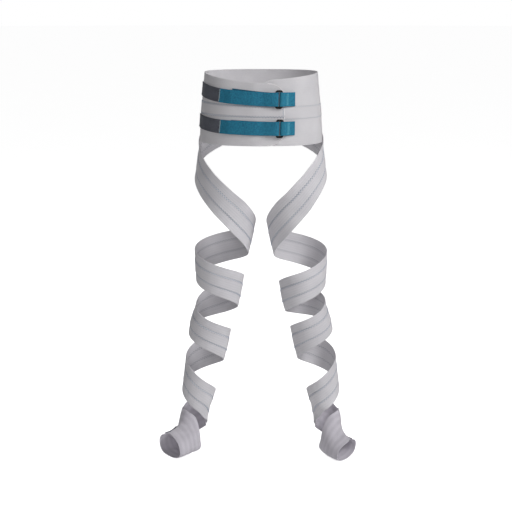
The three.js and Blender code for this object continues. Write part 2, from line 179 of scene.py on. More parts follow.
BAND_WAY = (
    Waypoint(24, 31, 31),
    Waypoint(60, 70, 66),
    Waypoint(90, 101, 95),
    Waypoint(135, 141.5, 135),
    Waypoint(180, 185, 183),
    Waypoint(225, 231, 232),
    Waypoint(270, 262.5, 265),
    Waypoint(360, 293.5, 297),
    Waypoint(450, 315, 320),
    Waypoint(540, 340, 351.5),
    Waypoint(630, 370.5, 382),
    Waypoint(720, 399, 401),
    Waypoint(810, 426, 419),
    Waypoint(900, 454.5, 447),
    Waypoint(990, 485, 480),
    Waypoint(1080, 513, 510),
    Waypoint(1170, 543, 541.5),
    Waypoint(1260, 581, 580),
    Waypoint(1350, 611.5, 611.5),
    Waypoint(1445, 629, 629),
)
WRAP_WAY = (
    Waypoint(-50, 624, 624),
    Waypoint(0, 631, 633),
    Waypoint(90, 653, 657),
    Waypoint(135, 666.5, 672.5),
    Waypoint(180, 683.5, 689),
    Waypoint(225, 699, 697.5),
    Waypoint(270, 709.5, 701),
    Waypoint(360, 712.5, 703),
    Waypoint(450, 708, 698),
    Waypoint(495, 701, 691),
)
WRAP_END = {Side.RIGHT: 485.0, Side.LEFT: 465.0}
TAB_START = {Side.RIGHT: 440.0, Side.LEFT: 412.0}
BAND_PARTS = ("thigh", "knee", "calf", "shin")


class SmoothCurve:
    """Smooth curve through knots, which doesn't overshoot them and runs on straight past its ends."""

    def __init__(self, at: Sequence[float], value: Sequence[float]) -> None:
        """Takes the knots.

        Args:
            at: Where the knots are, rising.
            value: The curve's value at each knot.
        """
        self.at = np.asarray(at, float)
        self.value = np.asarray(value, float)
        rise = np.diff(self.value) / np.diff(self.at)
        before, after = rise[:-1], rise[1:]
        same_way = before * after > 0
        middle = 2 * before * after / np.where(same_way, before + after, 1)
        self.slope = np.concatenate([rise[:1], np.where(same_way, middle, 0), rise[-1:]])

    def __call__(self, x: Values) -> Values:
        """Values of the curve.

        Args:
            x: Places on the knots' axis.

        Returns:
            The curve's value at each place.
        """
        x = np.asarray(x, float)
        i = np.clip(np.searchsorted(self.at, x) - 1, 0, len(self.at) - 2)
        span = self.at[i + 1] - self.at[i]
        t = np.clip((x - self.at[i]) / span, 0, 1)
        u = 1 - t
        inside = (
            self.value[i] * u * u * (1 + 2 * t)
            + self.slope[i] * span * t * u * u
            + self.value[i + 1] * t * t * (3 - 2 * t)
            - self.slope[i + 1] * span * t * t * u
        )
        below = self.slope[0] * np.minimum(x - self.at[0], 0)
        above = self.slope[-1] * np.maximum(x - self.at[-1], 0)
        return inside + below + above


def ease(value: Values, start: float, end: float) -> Values:
    """Rises smoothly from 0 at the first bound to 1 at the second.

    Args:
        value: Places to look at.
        start: Where the rise starts.
        end: Where it ends.

    Returns:
        The share risen, from 0 to 1.
    """
    t = np.clip((np.asarray(value, float) - start) / (end - start), 0, 1)
    return t * t * (3 - 2 * t)


def unit(vectors: Values) -> Values:
    """Vectors along the last axis, at length 1."""
    return vectors / np.linalg.norm(vectors, axis=-1, keepdims=True)


def lengths_along(line: Values) -> Values:
    """How far each point of a line is from the first, along the line."""
    return np.concatenate([[0], np.cumsum(np.linalg.norm(np.diff(line, axis=0), axis=1))])


def points_at(along: Values, line: Values) -> Values:
    """Points of a flat line.

    Args:
        along: How far they are from its start, along it.
        line: The line's own points, two values each.

    Returns:
        A point for each distance.
    """
    measure = lengths_along(line)
    return np.stack([np.interp(along, measure, line[:, i]) for i in (0, 1)], axis=1)


class ShapingForm:
    """One side of the form: a trunk that turns into a leg and a foot, built as a left side."""

    def __init__(self, side: Side) -> None:
        """Takes the sections.

        Args:
            side: The leg whose foot it gets.
        """
        sections = TRUNK_AND_LEG + FOOT[side]
        stations = [section.station for section in sections]
        self.columns = {
            name: SmoothCurve(stations, [getattr(section, name) for section in sections])
            for name in Section._fields[1:]
        }

    def point(self, station: Values, turn: Values) -> Values:
        """Points of the surface.

        Args:
            station: The way down the form.
            turn: The way round it, from 0 at the back through 90 at the outside.

        Returns:
            Places, with a last axis of three.
        """
        cut = {name: curve(station) for name, curve in self.columns.items()}
        angle, lean, out_turn = np.radians(turn), np.radians(cut["tilt"]), np.radians(cut["turn"])
        outward, rearward = np.sin(angle), np.cos(angle)
        to_side = np.abs(outward) / np.where(outward > 0, cut["lateral"], cut["medial"])
        to_rear = np.abs(rearward) / np.where(rearward > 0, cut["back"], cut["front"])
        square = cut["square"]
        reach = (to_side**square + to_rear**square) ** (-1 / square)
        out, forward = reach * outward, -reach * rearward
        level = forward * np.cos(lean)
        return np.stack(
            [
                cut["across"] + out * np.cos(out_turn) + level * np.sin(out_turn),
                cut["depth"] + out * np.sin(out_turn) - level * np.cos(out_turn),
                cut["height"] + forward * np.sin(lean),
            ],
            axis=-1,
        )

    def slopes(self, station: Values, turn: Values) -> tuple[Values, Values, Values]:
        """Slopes of the surface.

        Args:
            station: The way down the form.
            turn: The way round it.

        Returns:
            The slope down the form, the slope round it and the outward normal.
        """
        down = self.point(station + NEAR, turn) - self.point(station - NEAR, turn)
        around = self.point(station, turn + NEAR) - self.point(station, turn - NEAR)
        return down, around, unit(np.cross(around, down))

    def step(
        self, station: Values, turn: Values, direction: Values, distance: float
    ) -> tuple[Values, Values]:
        """Goes a short way over the surface.

        Args:
            station: Where it starts, down the form.
            turn: Where it starts, round the form.
            direction: The way to go, which needn't lie in the surface.
            distance: How far to go.

        Returns:
            The station and turn that it comes to.
        """
        down, around, _ = self.slopes(station, turn)
        dd, dr, rr = ((a * b).sum(-1) for a, b in ((down, down), (down, around), (around, around)))
        to_down, to_around = (direction * down).sum(-1), (direction * around).sum(-1)
        det = dd * rr - dr * dr
        a = (to_down * rr - to_around * dr) / det
        b = (to_around * dd - to_down * dr) / det
        length = np.linalg.norm(down * a[..., None] + around * b[..., None], axis=-1)
        return station + a * distance / length, turn + b * distance / length


FORMS = {side: ShapingForm(side) for side in Side}


class Grain(NamedTuple):
    """Cloudy variation: the size of its clouds, and how many layers of finer ones lie over them."""

    size: float
    detail: float


class NodeSheet:
    """The nodes of one material, with short calls for the kinds that the finishes use."""

    def __init__(self, name: str) -> None:
        """Starts a material with a principled shader.

        Args:
            name: The material's name.
        """
        self.material = bpy.data.materials.new(name)
        self.material.use_nodes = True
        self.nodes = self.material.node_tree.nodes
        self.links = self.material.node_tree.links
        self.shader = self.nodes["Principled BSDF"]

    def feed(self, socket: Socket, value: "Socket | float | Colour") -> None:
        """Links a socket to an output, or sets it to a plain value.

        Args:
            socket: The socket to feed.
            value: What it gets.
        """
        if isinstance(value, bpy.types.NodeSocket):
            self.links.new(value, socket)
        else:
            socket.default_value = value

    def math(self, operation: str, a: "Socket | float", b: "Socket | float" = 0.0) -> Socket:
        """One step of arithmetic.

        Args:
            operation: Blender's name for it.
            a: The first value.
            b: The second value.

        Returns:
            The result.
        """
        node = self.nodes.new("ShaderNodeMath")
        node.operation = operation
        self.feed(node.inputs[0], a)
        self.feed(node.inputs[1], b)
        return node.outputs[0]

    def total(self, *terms: tuple[Socket, float]) -> Socket:
        """Adds up weighted values.

        Args:
            terms: Pairs of a value and its weight.

        Returns:
            The sum.
        """
        made = self.math("MULTIPLY", *terms[0])
        for value, weight in terms[1:]:
            made = self.math("ADD", made, self.math("MULTIPLY", value, weight))
        return made

    def cloth_map(self, axis: Axis, name: str = CLOTH_MAP) -> Socket:
        """One way over a map of the cloth.

        Args:
            axis: The way to look.
            name: The map's name.

        Returns:
            Places in metres.
        """
        spot = self.nodes.new("ShaderNodeUVMap")
        spot.uv_map = name
        split = self.nodes.new("ShaderNodeSeparateXYZ")
        self.links.new(spot.outputs[0], split.inputs[0])
        return split.outputs[axis.value]

    def wave(self, axis: Axis, pitch: float) -> Socket:
        """Waves over the cloth, from -1 to 1, that follow each other along an axis."""
        turns = self.math("MULTIPLY", self.cloth_map(axis), 2 * math.pi / (pitch * MM))
        return self.math("SINE", turns)

    def noise(self, grain: Grain) -> Socket:
        """Cloudy variation.

        Args:
            grain: Its clouds, in millimetres.

        Returns:
            A value from 0 to 1.
        """
        place = self.nodes.new("ShaderNodeTexCoord")
        node = self.nodes.new("ShaderNodeTexNoise")
        self.links.new(place.outputs["Object"], node.inputs["Vector"])
        node.inputs["Scale"].default_value = 1 / (grain.size * MM)
        node.inputs["Detail"].default_value = grain.detail
        return node.outputs["Fac"]

    def blend(self, share: Socket, low: "Socket | Colour", high: "Socket | Colour") -> Socket:
        """Mixes two colours.

        Args:
            share: Of the second colour.
            low: The first colour.
            high: The second colour.

        Returns:
            The mixed colour.
        """
        node = self.nodes.new("ShaderNodeMix")
        node.data_type = "RGBA"
        self.feed(node.inputs["Factor"], share)
        for name, value in (("A", low), ("B", high)):
            socket = next(s for s in node.inputs if s.name == name and s.type == "RGBA")
            self.feed(socket, value if isinstance(value, bpy.types.NodeSocket) else (*value, 1.0))
        return next(s for s in node.outputs if s.type == "RGBA")

    def band(self, value: Socket, low: float, high: float) -> Socket:
        """Share risen between two bounds, kept from 0 to 1.

        Args:
            value: What to look at.
            low: Where the rise starts.
            high: Where it ends.

        Returns:
            A value from 0 to 1.
        """
        node = self.nodes.new("ShaderNodeMapRange")
        node.interpolation_type = "SMOOTHSTEP"
        self.feed(node.inputs["Value"], value)
        node.inputs["From Min"].default_value = low
        node.inputs["From Max"].default_value = high
        return node.outputs[0]

    def spread(self, value: Socket, low: float, high: float) -> Socket:
        """A value from 0 to 1, spread over a range."""
        return self.math("ADD", self.math("MULTIPLY", value, high - low), low)

    def colour(self, value: Socket) -> None:
        """Sets the base colour."""
        self.links.new(value, self.shader.inputs["Base Color"])

    def rough(self, value: Socket, low: float, high: float) -> None:
        """Spreads a value from 0 to 1 over a range of roughness."""
        self.links.new(self.spread(value, low, high), self.shader.inputs["Roughness"])

    def relief(self, height: Socket, depth: float, strength: float) -> None:
        """Raises the surface.

        Args:
            height: Of the surface, about -1 to 1.
            depth: What a height of 1 is, in millimetres.
            strength: Of the shading.
        """
        node = self.nodes.new("ShaderNodeBump")
        node.inputs["Distance"].default_value = depth * MM
        node.inputs["Strength"].default_value = strength
        self.links.new(height, node.inputs["Height"])
        self.links.new(node.outputs[0], self.shader.inputs["Normal"])

    def sheen(self, weight: float, roughness: float, tint: Colour) -> None:
        """Sets the soft glow of fibre ends.

        Args:
            weight: How strong it is.
            roughness: How widely it spreads.
            tint: Its colour.
        """
        self.shader.inputs["Sheen Weight"].default_value = weight
        self.shader.inputs["Sheen Roughness"].default_value = roughness
        self.shader.inputs["Sheen Tint"].default_value = (*tint, 1.0)


def tone(red: float, green: float, blue: float) -> Colour:
    """A colour as a screen shows it, from 0 to 255, in linear light.

    Args:
        red: Red part.
        green: Green part.
        blue: Blue part.

    Returns:
        The linear colour.
    """
    shares = (part / 255 for part in (red, green, blue))
    return tuple(s / 12.92 if s <= 0.04045 else ((s + 0.055) / 1.055) ** 2.4 for s in shares)


WHITE: Colour = (1.0, 1.0, 1.0)
# Painted shade: the blue-grey that the elastic darkens to in its needle holes and seam puckers
NEEDLE_HOLE_SHADE = tone(40, 62, 90)


@dataclass(frozen=True)
class ZigzagSeam:
    """A long zigzag seam, whose needle goes in at even steps along the cloth."""

    stitch: float = 2.7
    swing: float = 1.5
    hole: float = 1.15
    hole_core: float = 0.25

    def points(self, start: float, end: float) -> tuple[Values, Values]:
        """Where the needle goes in.

        Args:
            start: Where the seam starts, along the cloth.
            end: Where it ends.

        Returns:
            Places along the cloth, and places to either side of the seam.
        """
        count = np.arange(math.ceil(start / self.stitch), math.floor(end / self.stitch) + 1)
        return count * self.stitch, self.swing * np.where(count % 2, 1.0, -1.0)

    def puckers(self, sheet: NodeSheet) -> Socket:
        """Dents of the needle in the cloth, which also mask the painted shade of the needle holes.

        Args:
            sheet: The nodes of the cloth's finish.

        Returns:
            How near the cloth is to a place where the needle went in, from 0 to 1.
        """
        along, off = (sheet.cloth_map(axis, SEAM_MAP) for axis in Axis)
        turns = sheet.math("MULTIPLY", along, math.pi / (self.stitch * MM))
        ahead = sheet.math("MULTIPLY", sheet.math("SINE", turns), self.stitch * MM / math.pi)
        sway = sheet.math("MULTIPLY", sheet.math("COSINE", turns), self.swing * MM)
        aside = sheet.math("ADD", off, sway)
        squares = [sheet.math("MULTIPLY", way, way) for way in (ahead, aside)]
        away = sheet.math("SQRT", sheet.math("ADD", *squares))
        return sheet.band(away, self.hole * MM, self.hole_core * self.hole * MM)


SEAM = ZigzagSeam()


@dataclass(frozen=True)
class Finish:
    """What every finish has: a name, and a light and a dark tone that its surface wavers between.

    In the finishes a share is how much a grain sways the tone, and a height how far it raises the surface.
    """

    name: str
    light: Colour
    dark: Colour

    def material(self) -> bpy.types.Material:
        """The finish as a material.

        Returns:
            A new material.
        """
        sheet = NodeSheet(self.name)
        self.paint(sheet)
        return sheet.material

    def paint(self, sheet: NodeSheet) -> None:
        """Lays out the nodes, which each kind of finish does in its own way."""
        raise NotImplementedError

    def graded(self, sheet: NodeSheet, value: Socket, span: Span) -> Socket:
        """From the dark tone to the light one, as a value goes over a span."""
        return sheet.blend(sheet.band(value, *span), self.dark, self.light)


@dataclass(frozen=True)
class ElasticFinish(Finish):
    """Woven elastic: cords side by side along its length, with a fine weft laid over them."""

    cord_pitch: float = 1.25
    weft_pitch: float = 0.9
    stripe_pitch: float = 4.6
    fleck_grain: Grain = Grain(1.1, 3)
    cloud_grain: Grain = Grain(45, 2)
    # Cords and knit: partly the weave's own tone, partly painted shade in the grooves between them
    cord_share: float = 0.06
    knit_share: float = 0.08
    stripe_share: float = 0.06
    fleck_share: float = 0.5
    cloud_share: float = 0.6
    share_span: Span = (0.1, 1.0)
    cord_height: float = 0.5
    knit_height: float = 0.3
    fleck_height: float = 0.7
    depth: float = 0.16
    bump: float = 0.7
    roughness: Span = (0.78, 0.98)
    sheen: Span = (0.2, 0.5)
    pucker: float = 0.0
    faint_share: float = 0.12
    faint_run: Span | None = None

    def paint(self, sheet: NodeSheet) -> None:
        """Lays out the nodes.

        Args:
            sheet: The nodes of its material.
        """
        cord = sheet.wave(Axis.ACROSS, self.cord_pitch)
        weft = sheet.wave(Axis.ALONG, self.weft_pitch)
        stripe = sheet.wave(Axis.ACROSS, self.stripe_pitch)
        knit = sheet.math("MULTIPLY", cord, weft)
        fleck = sheet.noise(self.fleck_grain)
        cloud = sheet.noise(self.cloud_grain)
        # The cords and the knit are the weave's pattern, and their tone follows their height, which paints
        # shade into the grooves between them; stripes, flecks and clouds are the cloth's own tone
        share = sheet.total(
            (cord, self.cord_share),
            (knit, self.knit_share),
            (stripe, self.stripe_share),
            (fleck, self.fleck_share),
            (cloud, self.cloud_share),
        )
        colour = self.graded(sheet, share, self.share_span)
        height = sheet.total(
            (cord, self.cord_height), (knit, self.knit_height), (fleck, self.fleck_height)
        )
        # Painted shade: where the needle went in, the cloth is dented and its colour darkened towards the
        # needle holes' shade
        if self.pucker:
            near = SEAM.puckers(sheet)
            shade = sheet.math("MULTIPLY", near, self.pucker)
            colour = sheet.blend(self.faded(sheet, shade), colour, NEEDLE_HOLE_SHADE)
            height = sheet.math("SUBTRACT", height, near)
        sheet.colour(colour)
        sheet.rough(fleck, *self.roughness)
        sheet.relief(height, self.depth, self.bump)
        sheet.sheen(*self.sheen, WHITE)

    def faded(self, sheet: NodeSheet, shade: Socket) -> Socket:
        """The painted shade of the needle holes, fainter over a part of the cloth's length if the finish
        has one.

        Args:
            sheet: The nodes of its material.
            shade: The painted shade at full strength.

        Returns:
            The painted shade as it shows.
        """
        if self.faint_run is None:
            return shade
        strong = sheet.band(sheet.cloth_map(Axis.ALONG), *(place * MM for place in self.faint_run))
        return sheet.math("MULTIPLY", shade, sheet.spread(strong, self.faint_share, 1.0))


@dataclass(frozen=True)
class WebbingFinish(Finish):
    """Looped webbing: a short pile on a woven ground, with ribs where it has no pile."""

    rib_share: float
    rib_pitch: float = 1.7
    pile_grain: Grain = Grain(0.8, 4)
    tuft_grain: Grain = Grain(2.2, 2)
    pile_share: float = 1.0
    tuft_share: float = 1.6
    weft_share: float = 0.04
    share_span: Span = (0.75, 1.8)
    pile_height: float = 1.6
    depth: float = 0.3
    bump: float = 0.8
    roughness: Span = (0.7, 0.98)
    sheen: Span = (0.35, 0.45)
    # Painted shade: the under run, which peeks out beneath the doubled-back layer, is darkened to this
    # teal over its length along the strap
    back_tone: Colour | None = None
    back_length: float = 84.0
    back_fade: float = 0.97

    def paint(self, sheet: NodeSheet) -> None:
        """Lays out the nodes.

        Args:
            sheet: The nodes of its material.
        """
        rib = sheet.wave(Axis.ACROSS, self.rib_pitch)
        weft = sheet.wave(Axis.ALONG, self.rib_pitch / 2)
        pile = sheet.noise(self.pile_grain)
        tuft = sheet.noise(self.tuft_grain)
        share = sheet.total(
            (rib, self.rib_share),
            (pile, self.pile_share),
            (tuft, self.tuft_share),
            (weft, self.weft_share),
        )
        colour = self.graded(sheet, share, self.share_span)
        # Painted shade over the under run, beneath the doubled-back layer
        if self.back_tone is not None:
            end = self.back_length * MM
            in_under_run = sheet.band(sheet.cloth_map(Axis.ALONG), end, self.back_fade * end)
            colour = sheet.blend(in_under_run, colour, self.back_tone)
        sheet.colour(colour)
        sheet.rough(pile, *self.roughness)
        height = sheet.total((rib, self.rib_share), (pile, self.pile_height))
        sheet.relief(height, self.depth, self.bump)
        sheet.sheen(*self.sheen, self.light)


@dataclass(frozen=True)
class TapeFinish(Finish):
    """The woven back of hook tape: a close plain weave, matt and a little dusty."""

    thread_pitch: float = 0.8
    fleck_grain: Grain = Grain(0.9, 4)
    cloud_grain: Grain = Grain(18, 2)
    weave_share: float = 0.16
    fleck_share: float = 0.9
    cloud_share: float = 0.6
    share_span: Span = (0.3, 1.2)
    weave_height: float = 0.7
    fleck_height: float = 0.6
    depth: float = 0.12
    bump: float = 0.8
    roughness: Span = (0.75, 0.97)
    sheen: Span = (0.12, 0.5)
    dust: Colour = (0.8, 0.8, 0.85)

    def paint(self, sheet: NodeSheet) -> None:
        """Lays out the nodes.

        Args:
            sheet: The nodes of its material.
        """
        warp, weft = (sheet.wave(axis, self.thread_pitch) for axis in (Axis.ACROSS, Axis.ALONG))
        weave = sheet.math("MULTIPLY", warp, weft)
        fleck = sheet.noise(self.fleck_grain)
        cloud = sheet.noise(self.cloud_grain)
        share = sheet.total(
            (weave, self.weave_share), (fleck, self.fleck_share), (cloud, self.cloud_share)
        )
        sheet.colour(self.graded(sheet, share, self.share_span))
        sheet.rough(fleck, *self.roughness)
        height = sheet.total((weave, self.weave_height), (fleck, self.fleck_height))
        sheet.relief(height, self.depth, self.bump)
        sheet.sheen(*self.sheen, self.dust)


@dataclass(frozen=True)
class PlasticFinish(Finish):
    """Moulded plastic, with a fine grain, rubbed light in spots."""

    fine_grain: Grain = Grain(0.35, 3)
    scuff_grain: Grain = Grain(3.5, 5)
    scuff_span: Span = (0.5, 0.8)
    roughness: Span = (0.3, 0.5)
    gloss: float = 0.3
    depth: float = 0.04
    bump: float = 0.5

    def paint(self, sheet: NodeSheet) -> None:
        """Lays out the nodes.

        Args:
            sheet: The nodes of its material.
        """
        scuff = sheet.noise(self.scuff_grain)
        sheet.colour(self.graded(sheet, scuff, self.scuff_span))
        sheet.rough(scuff, *self.roughness)
        sheet.shader.inputs["Specular IOR Level"].default_value = self.gloss
        sheet.relief(sheet.noise(self.fine_grain), self.depth, self.bump)


@dataclass(frozen=True)
class ThreadFinish(Finish):
    """Sewing thread, a little glossy, with its twist as a grain."""

    twist_grain: Grain = Grain(0.4, 2)
    twist_span: Span = (0.3, 0.7)
    roughness: Span = (0.45, 0.7)
    depth: float = 0.05
    bump: float = 0.6

    def paint(self, sheet: NodeSheet) -> None:
        """Lays out the nodes.

        Args:
            sheet: The nodes of its material.
        """
        twist = sheet.noise(self.twist_grain)
        sheet.colour(self.graded(sheet, twist, self.twist_span))
        sheet.rough(twist, *self.roughness)
        sheet.relief(twist, self.depth, self.bump)


@dataclass(frozen=True)
class FloorFinish(Finish):
    """Matt white studio floor, which looks as bright as the surround and doesn't light the brace more."""

    cloud_grain: Grain = Grain(700, 2)
    roughness: Span = (0.7, 0.8)
    glow: float = 0.86

    def paint(self, sheet: NodeSheet) -> None:
        """Lays out the nodes.

        Args:
            sheet: The nodes of its material.
        """
        cloud = sheet.noise(self.cloud_grain)
        sheet.colour(sheet.blend(cloud, self.dark, self.light))
        sheet.rough(cloud, *self.roughness)
        path = sheet.nodes.new("ShaderNodeLightPath")
        seen = sheet.math("MULTIPLY", path.outputs["Is Camera Ray"], self.glow)
        sheet.shader.inputs["Emission Color"].default_value = (*self.light, 1.0)
        sheet.links.new(seen, sheet.shader.inputs["Emission Strength"])


BELT_ELASTIC = ElasticFinish(
    "belt_elastic",
    tone(222, 220, 223),
    tone(198, 196, 200),
    stripe_share=0.015,
    cord_pitch=1.0,
    pucker=0.95,
    faint_run=(-260.0, -165.0),
)
BAND_ELASTIC = ElasticFinish("band_elastic", tone(231, 229, 233), tone(198, 196, 201), pucker=0.95)
WRAP_ELASTIC = ElasticFinish(
    "wrap_elastic", tone(222, 218, 226), tone(186, 182, 191), stripe_pitch=12.8, stripe_share=0.09
)
# The strap's under run is darkened with painted shade
STRAP_PILE = WebbingFinish(
    "strap_pile", tone(34, 133, 164), tone(10, 85, 114), rib_share=0.08, back_tone=tone(14, 86, 110)
)
LOOP_WEBBING = WebbingFinish(
    "loop_webbing", tone(40, 140, 170), tone(14, 93, 121), rib_share=0.35, pile_grain=Grain(1.2, 4)
)
HOOK_BACK = TapeFinish("hook_tape_back", tone(101, 104, 114), tone(61, 64, 73))
RING_PLASTIC = PlasticFinish("ring_plastic", tone(20, 20, 22), tone(8, 8, 9))
SEAM_THREAD = ThreadFinish("seam_thread", tone(176, 188, 204), tone(132, 148, 172))
FAINT_THREAD = ThreadFinish("faint_thread", tone(200, 203, 210), tone(170, 175, 186))
PALE_THREAD = ThreadFinish("pale_thread", tone(214, 226, 230), tone(170, 192, 200))
# Partly the overlock thread's own white and partly a painted highlight of the over end's hem edge
EDGE_THREAD_HIGHLIGHT = ThreadFinish("edge_thread", tone(252, 250, 250), tone(236, 233, 235))
TEAL_THREAD = ThreadFinish("teal_thread", tone(110, 190, 208), tone(60, 148, 172))
TAPE_THREAD = ThreadFinish("tape_thread", tone(112, 114, 124), tone(74, 76, 84))
FLOOR_PAINT = FloorFinish("studio_floor", tone(252, 252, 252), tone(247, 247, 248))


class Dresser:
    """Makes each finish once, and gives the pieces their finish."""

    def __init__(self) -> None:
        """Starts with no finish made."""
        self.made: dict[str, bpy.types.Material] = {}

    def dress(self, piece: bpy.types.Object, finish: Finish) -> None:
        """Gives a piece its finish and lets it ride.

        Args:
            piece: The piece, which is in place.
            finish: What it is finished in.
        """
        if finish.name not in self.made:
            self.made[finish.name] = finish.material()
        piece.data.materials.append(self.made[finish.name])
        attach(piece, BODY)
        log.info("%s: %d faces in %s", piece.name, len(piece.data.polygons), finish.name)


def in_scene(name: str, data: bpy.types.ID) -> bpy.types.Object:
    """Puts a mesh, a lamp or a camera into the scene.

    Args:
        name: The object's name.
        data: What it shows.

    Returns:
        The object, at the origin.
    """
    made = bpy.data.objects.new(name, data)
    bpy.context.scene.collection.objects.link(made)
    return made


def as_object(name: str, mesh: bmesh.types.BMesh, smooth: bool = True) -> bpy.types.Object:
    """Puts a finished bmesh into the scene.

    Args:
        name: The piece's name.
        mesh: Its mesh, in metres, which is freed.
        smooth: Whether its faces are shaded smooth.

    Returns:
        The object, at the origin.
    """
    for face in mesh.faces:
        face.smooth = smooth
    data = bpy.data.meshes.new(name)
    mesh.to_mesh(data)
    mesh.free()
    return in_scene(name, data)


@dataclass
class ClothMesh:
    """A hemmed cloth: a grid laid over its two faces, which meet in round edges."""

    HEM_STEPS = 3

    name: str
    along: Values
    across: Values
    mid: float
    off_seam: Values | None = None

    @classmethod
    def hem(cls, radius: float) -> Values:
        """Distances from an edge at which a round edge has its points."""
        return radius * (1 - np.cos(np.linspace(0, math.pi / 2, cls.HEM_STEPS + 1)))

    @classmethod
    def rows(cls, length: float, step: float, radius: float) -> Values:
        """Places of the rows along a cloth.

        Args:
            length: Of the cloth.
            step: About how far the rows are apart.
            radius: Of its round ends.

        Returns:
            Rising places from 0 to the length.
        """
        hem = cls.hem(radius)
        count = max(2, round((length - 2 * radius) / step))
        middle = np.linspace(radius, length - radius, count + 1)[1:-1]
        return np.concatenate([hem, middle, length - hem[::-1]])

    @staticmethod
    def plain_knots(half: "Values | float", radius: float) -> Values:
        """Knots of a cloth with even columns: its two edges, and between them the ends of the rounding."""
        half = np.asarray(half, float)
        return np.stack([-half, radius - half, half - radius, half], axis=-1)

    @classmethod
    def columns(cls, knots: Values, steps: Sequence[int]) -> Values:
        """Places of the columns across a cloth.

        Args:
            knots: For each row, the edge, the end of its rounding, and so on to the other edge.
            steps: How many columns lie between each two knots within the rounded edges.

        Returns:
            Places by row and column.
        """
        turn = np.linspace(0, math.pi / 2, cls.HEM_STEPS + 1)
        shares = [1 - np.cos(turn)]
        shares += [np.linspace(0, 1, count + 1) for count in steps]
        shares += [np.sin(turn)]
        made = [knots[:, :1]]
        for i, share in enumerate(shares):
            low, high = knots[:, i : i + 1], knots[:, i + 1 : i + 2]
            made.append(low + (high - low) * share[None, 1:])
        return np.concatenate(made, axis=1)

    @staticmethod
    def both_faces(outer: Values, inner: Values) -> Values:
        """The columns of the outer face, then those of the inner one back to the first."""
        return np.concatenate([outer, inner[:, -2::-1]], axis=1)

    def fullness(self) -> Values:
        """How much of its thickness the cloth has.

        Returns:
            Shares by row and column, 0 at the very edge.
        """
        to_end = np.minimum(self.along - self.along[0], self.along[-1] - self.along)[:, None]
        to_side = np.minimum(self.across - self.across[:, :1], self.across[:, -1:] - self.across)
        inside = [np.clip(1 - d / self.mid, 0, 1) for d in (to_end, to_side)]
        return np.sqrt(np.clip(1 - inside[0] ** 2, 0, 1)) * np.sqrt(np.clip(1 - inside[1] ** 2, 0, 1))

    def build(self, top: Values, lay: Callable[[Values, Values], Values]) -> bpy.types.Object:
        """Makes the cloth.

        Args:
            top: The height of its outer face over its inner one, by row and column.
            lay: Gives places for across and over values by row and column.

        Returns:
            The object.
        """
        full = self.fullness()
        outer = lay(self.across, self.mid + (top - self.mid) * full)
        inner = lay(self.across, self.mid * (1 - full))
        points = self.both_faces(outer, inner) * MM
        maps = {CLOTH_MAP: self.both_faces(self.across, self.across)}
        if self.off_seam is not None:
            maps[SEAM_MAP] = self.both_faces(self.off_seam, self.off_seam)
        rows, columns = points.shape[:2]
        mesh = bmesh.new()
        bmesh.ops.create_grid(mesh, x_segments=rows - 1, y_segments=columns - 1, size=0.5)
        mesh.verts.index_update()
        spots = np.array([vert.co[:2] for vert in mesh.verts]) + 0.5
        row = np.rint(spots[:, 0] * (rows - 1)).astype(int)
        column = np.rint(spots[:, 1] * (columns - 1)).astype(int)
        for vert, place in zip(mesh.verts, points[row, column].tolist()):
            vert.co = place
        for name in maps:
            mesh.loops.layers.uv.new(name)
        for name, off in maps.items():
            layer = mesh.loops.layers.uv[name]
            spots = (np.stack([self.along[row], off[row, column]], axis=1) * MM).tolist()
            for face in mesh.faces:
                for loop in face.loops:
                    loop[layer].uv = spots[loop.vert.index]
        bmesh.ops.remove_doubles(mesh, verts=mesh.verts[:], dist=MERGE)
        bmesh.ops.recalc_face_normals(mesh, faces=mesh.faces[:])
        return as_object(self.name, mesh)


@dataclass(frozen=True)
class Stitches:
    """Thread sewn in short raised stitches, all in one piece."""

    radius: float = 0.32
    sides: int = 6
    rings: int = 4
    steep: float = 0.8

    def build(self, name: str, runs: Sequence[Values]) -> bpy.types.Object:
        """Makes the stitches.

        Args:
            name: The piece's name.
            runs: Lines of points; a stitch goes from each point to the next.

        Returns:
            The object.
        """
        seed = bmesh.new()
        bmesh.ops.create_uvsphere(seed, u_segments=self.sides, v_segments=self.rings, radius=1.0)
        seed.verts.index_update()
        ball = np.array([vert.co[:] for vert in seed.verts])
        # The ball's faces come in any order, and sorted they give the same piece each run
        faces = sorted([vert.index for vert in face.verts] for face in seed.faces)
        seed.free()
        start = np.concatenate([run[:-1] for run in runs])
        end = np.concatenate([run[1:] for run in runs])
        along = unit(end - start)
        aside = np.where(np.abs(along[:, 2:]) < self.steep, [[0, 0, 1]], [[1, 0, 0]])
        side = unit(np.cross(along, aside))
        rise = np.cross(along, side)
        reach = np.linalg.norm(end - start, axis=1)[:, None] / 2 + self.radius / 2
        points = ((start + end) / 2)[:, None]
        for i, way in enumerate((side * self.radius, rise * self.radius, along * reach)):
            points = points + way[:, None] * ball[None, :, i : i + 1]
        count = len(ball)
        joined = [[i + k * count for i in face] for k in range(len(start)) for face in faces]
        data = bpy.data.meshes.new(name)
        data.from_pydata((points.reshape(-1, 3) * MM).tolist(), [], joined)
        data.polygons.foreach_set("use_smooth", np.ones(len(joined), bool))
        return in_scene(name, data)


STITCHES = Stitches()


def zigzag(count: int, swing: float) -> Values:
    """Places to one side and the other in turn, for a zigzag seam."""
    return swing * np.where(np.arange(count) % 2, 1.0, -1.0)


@dataclass(frozen=True)
class DoubledStrip:
    """Where two strips of cloth overlap: raised between the seams, and drawn in along them."""

    slope: float = 1.2
    groove: float = 0.22
    groove_place: float = 1.6
    groove_width: float = 0.9

    def height(self, off: Values) -> Values:
        """The height of the outer face over the inner one.

        Args:
            off: How far places lie outside the nearer seam.

        Returns:
            A height for each place.
        """
        raised = 1 - ease(off, -self.slope / 2, self.slope / 2)
        drawn_in = np.exp(-(((off - self.groove_place) / self.groove_width) ** 2))
        return CLOTH + DOUBLED * raised - self.groove * drawn_in


DOUBLED_STRIP = DoubledStrip()


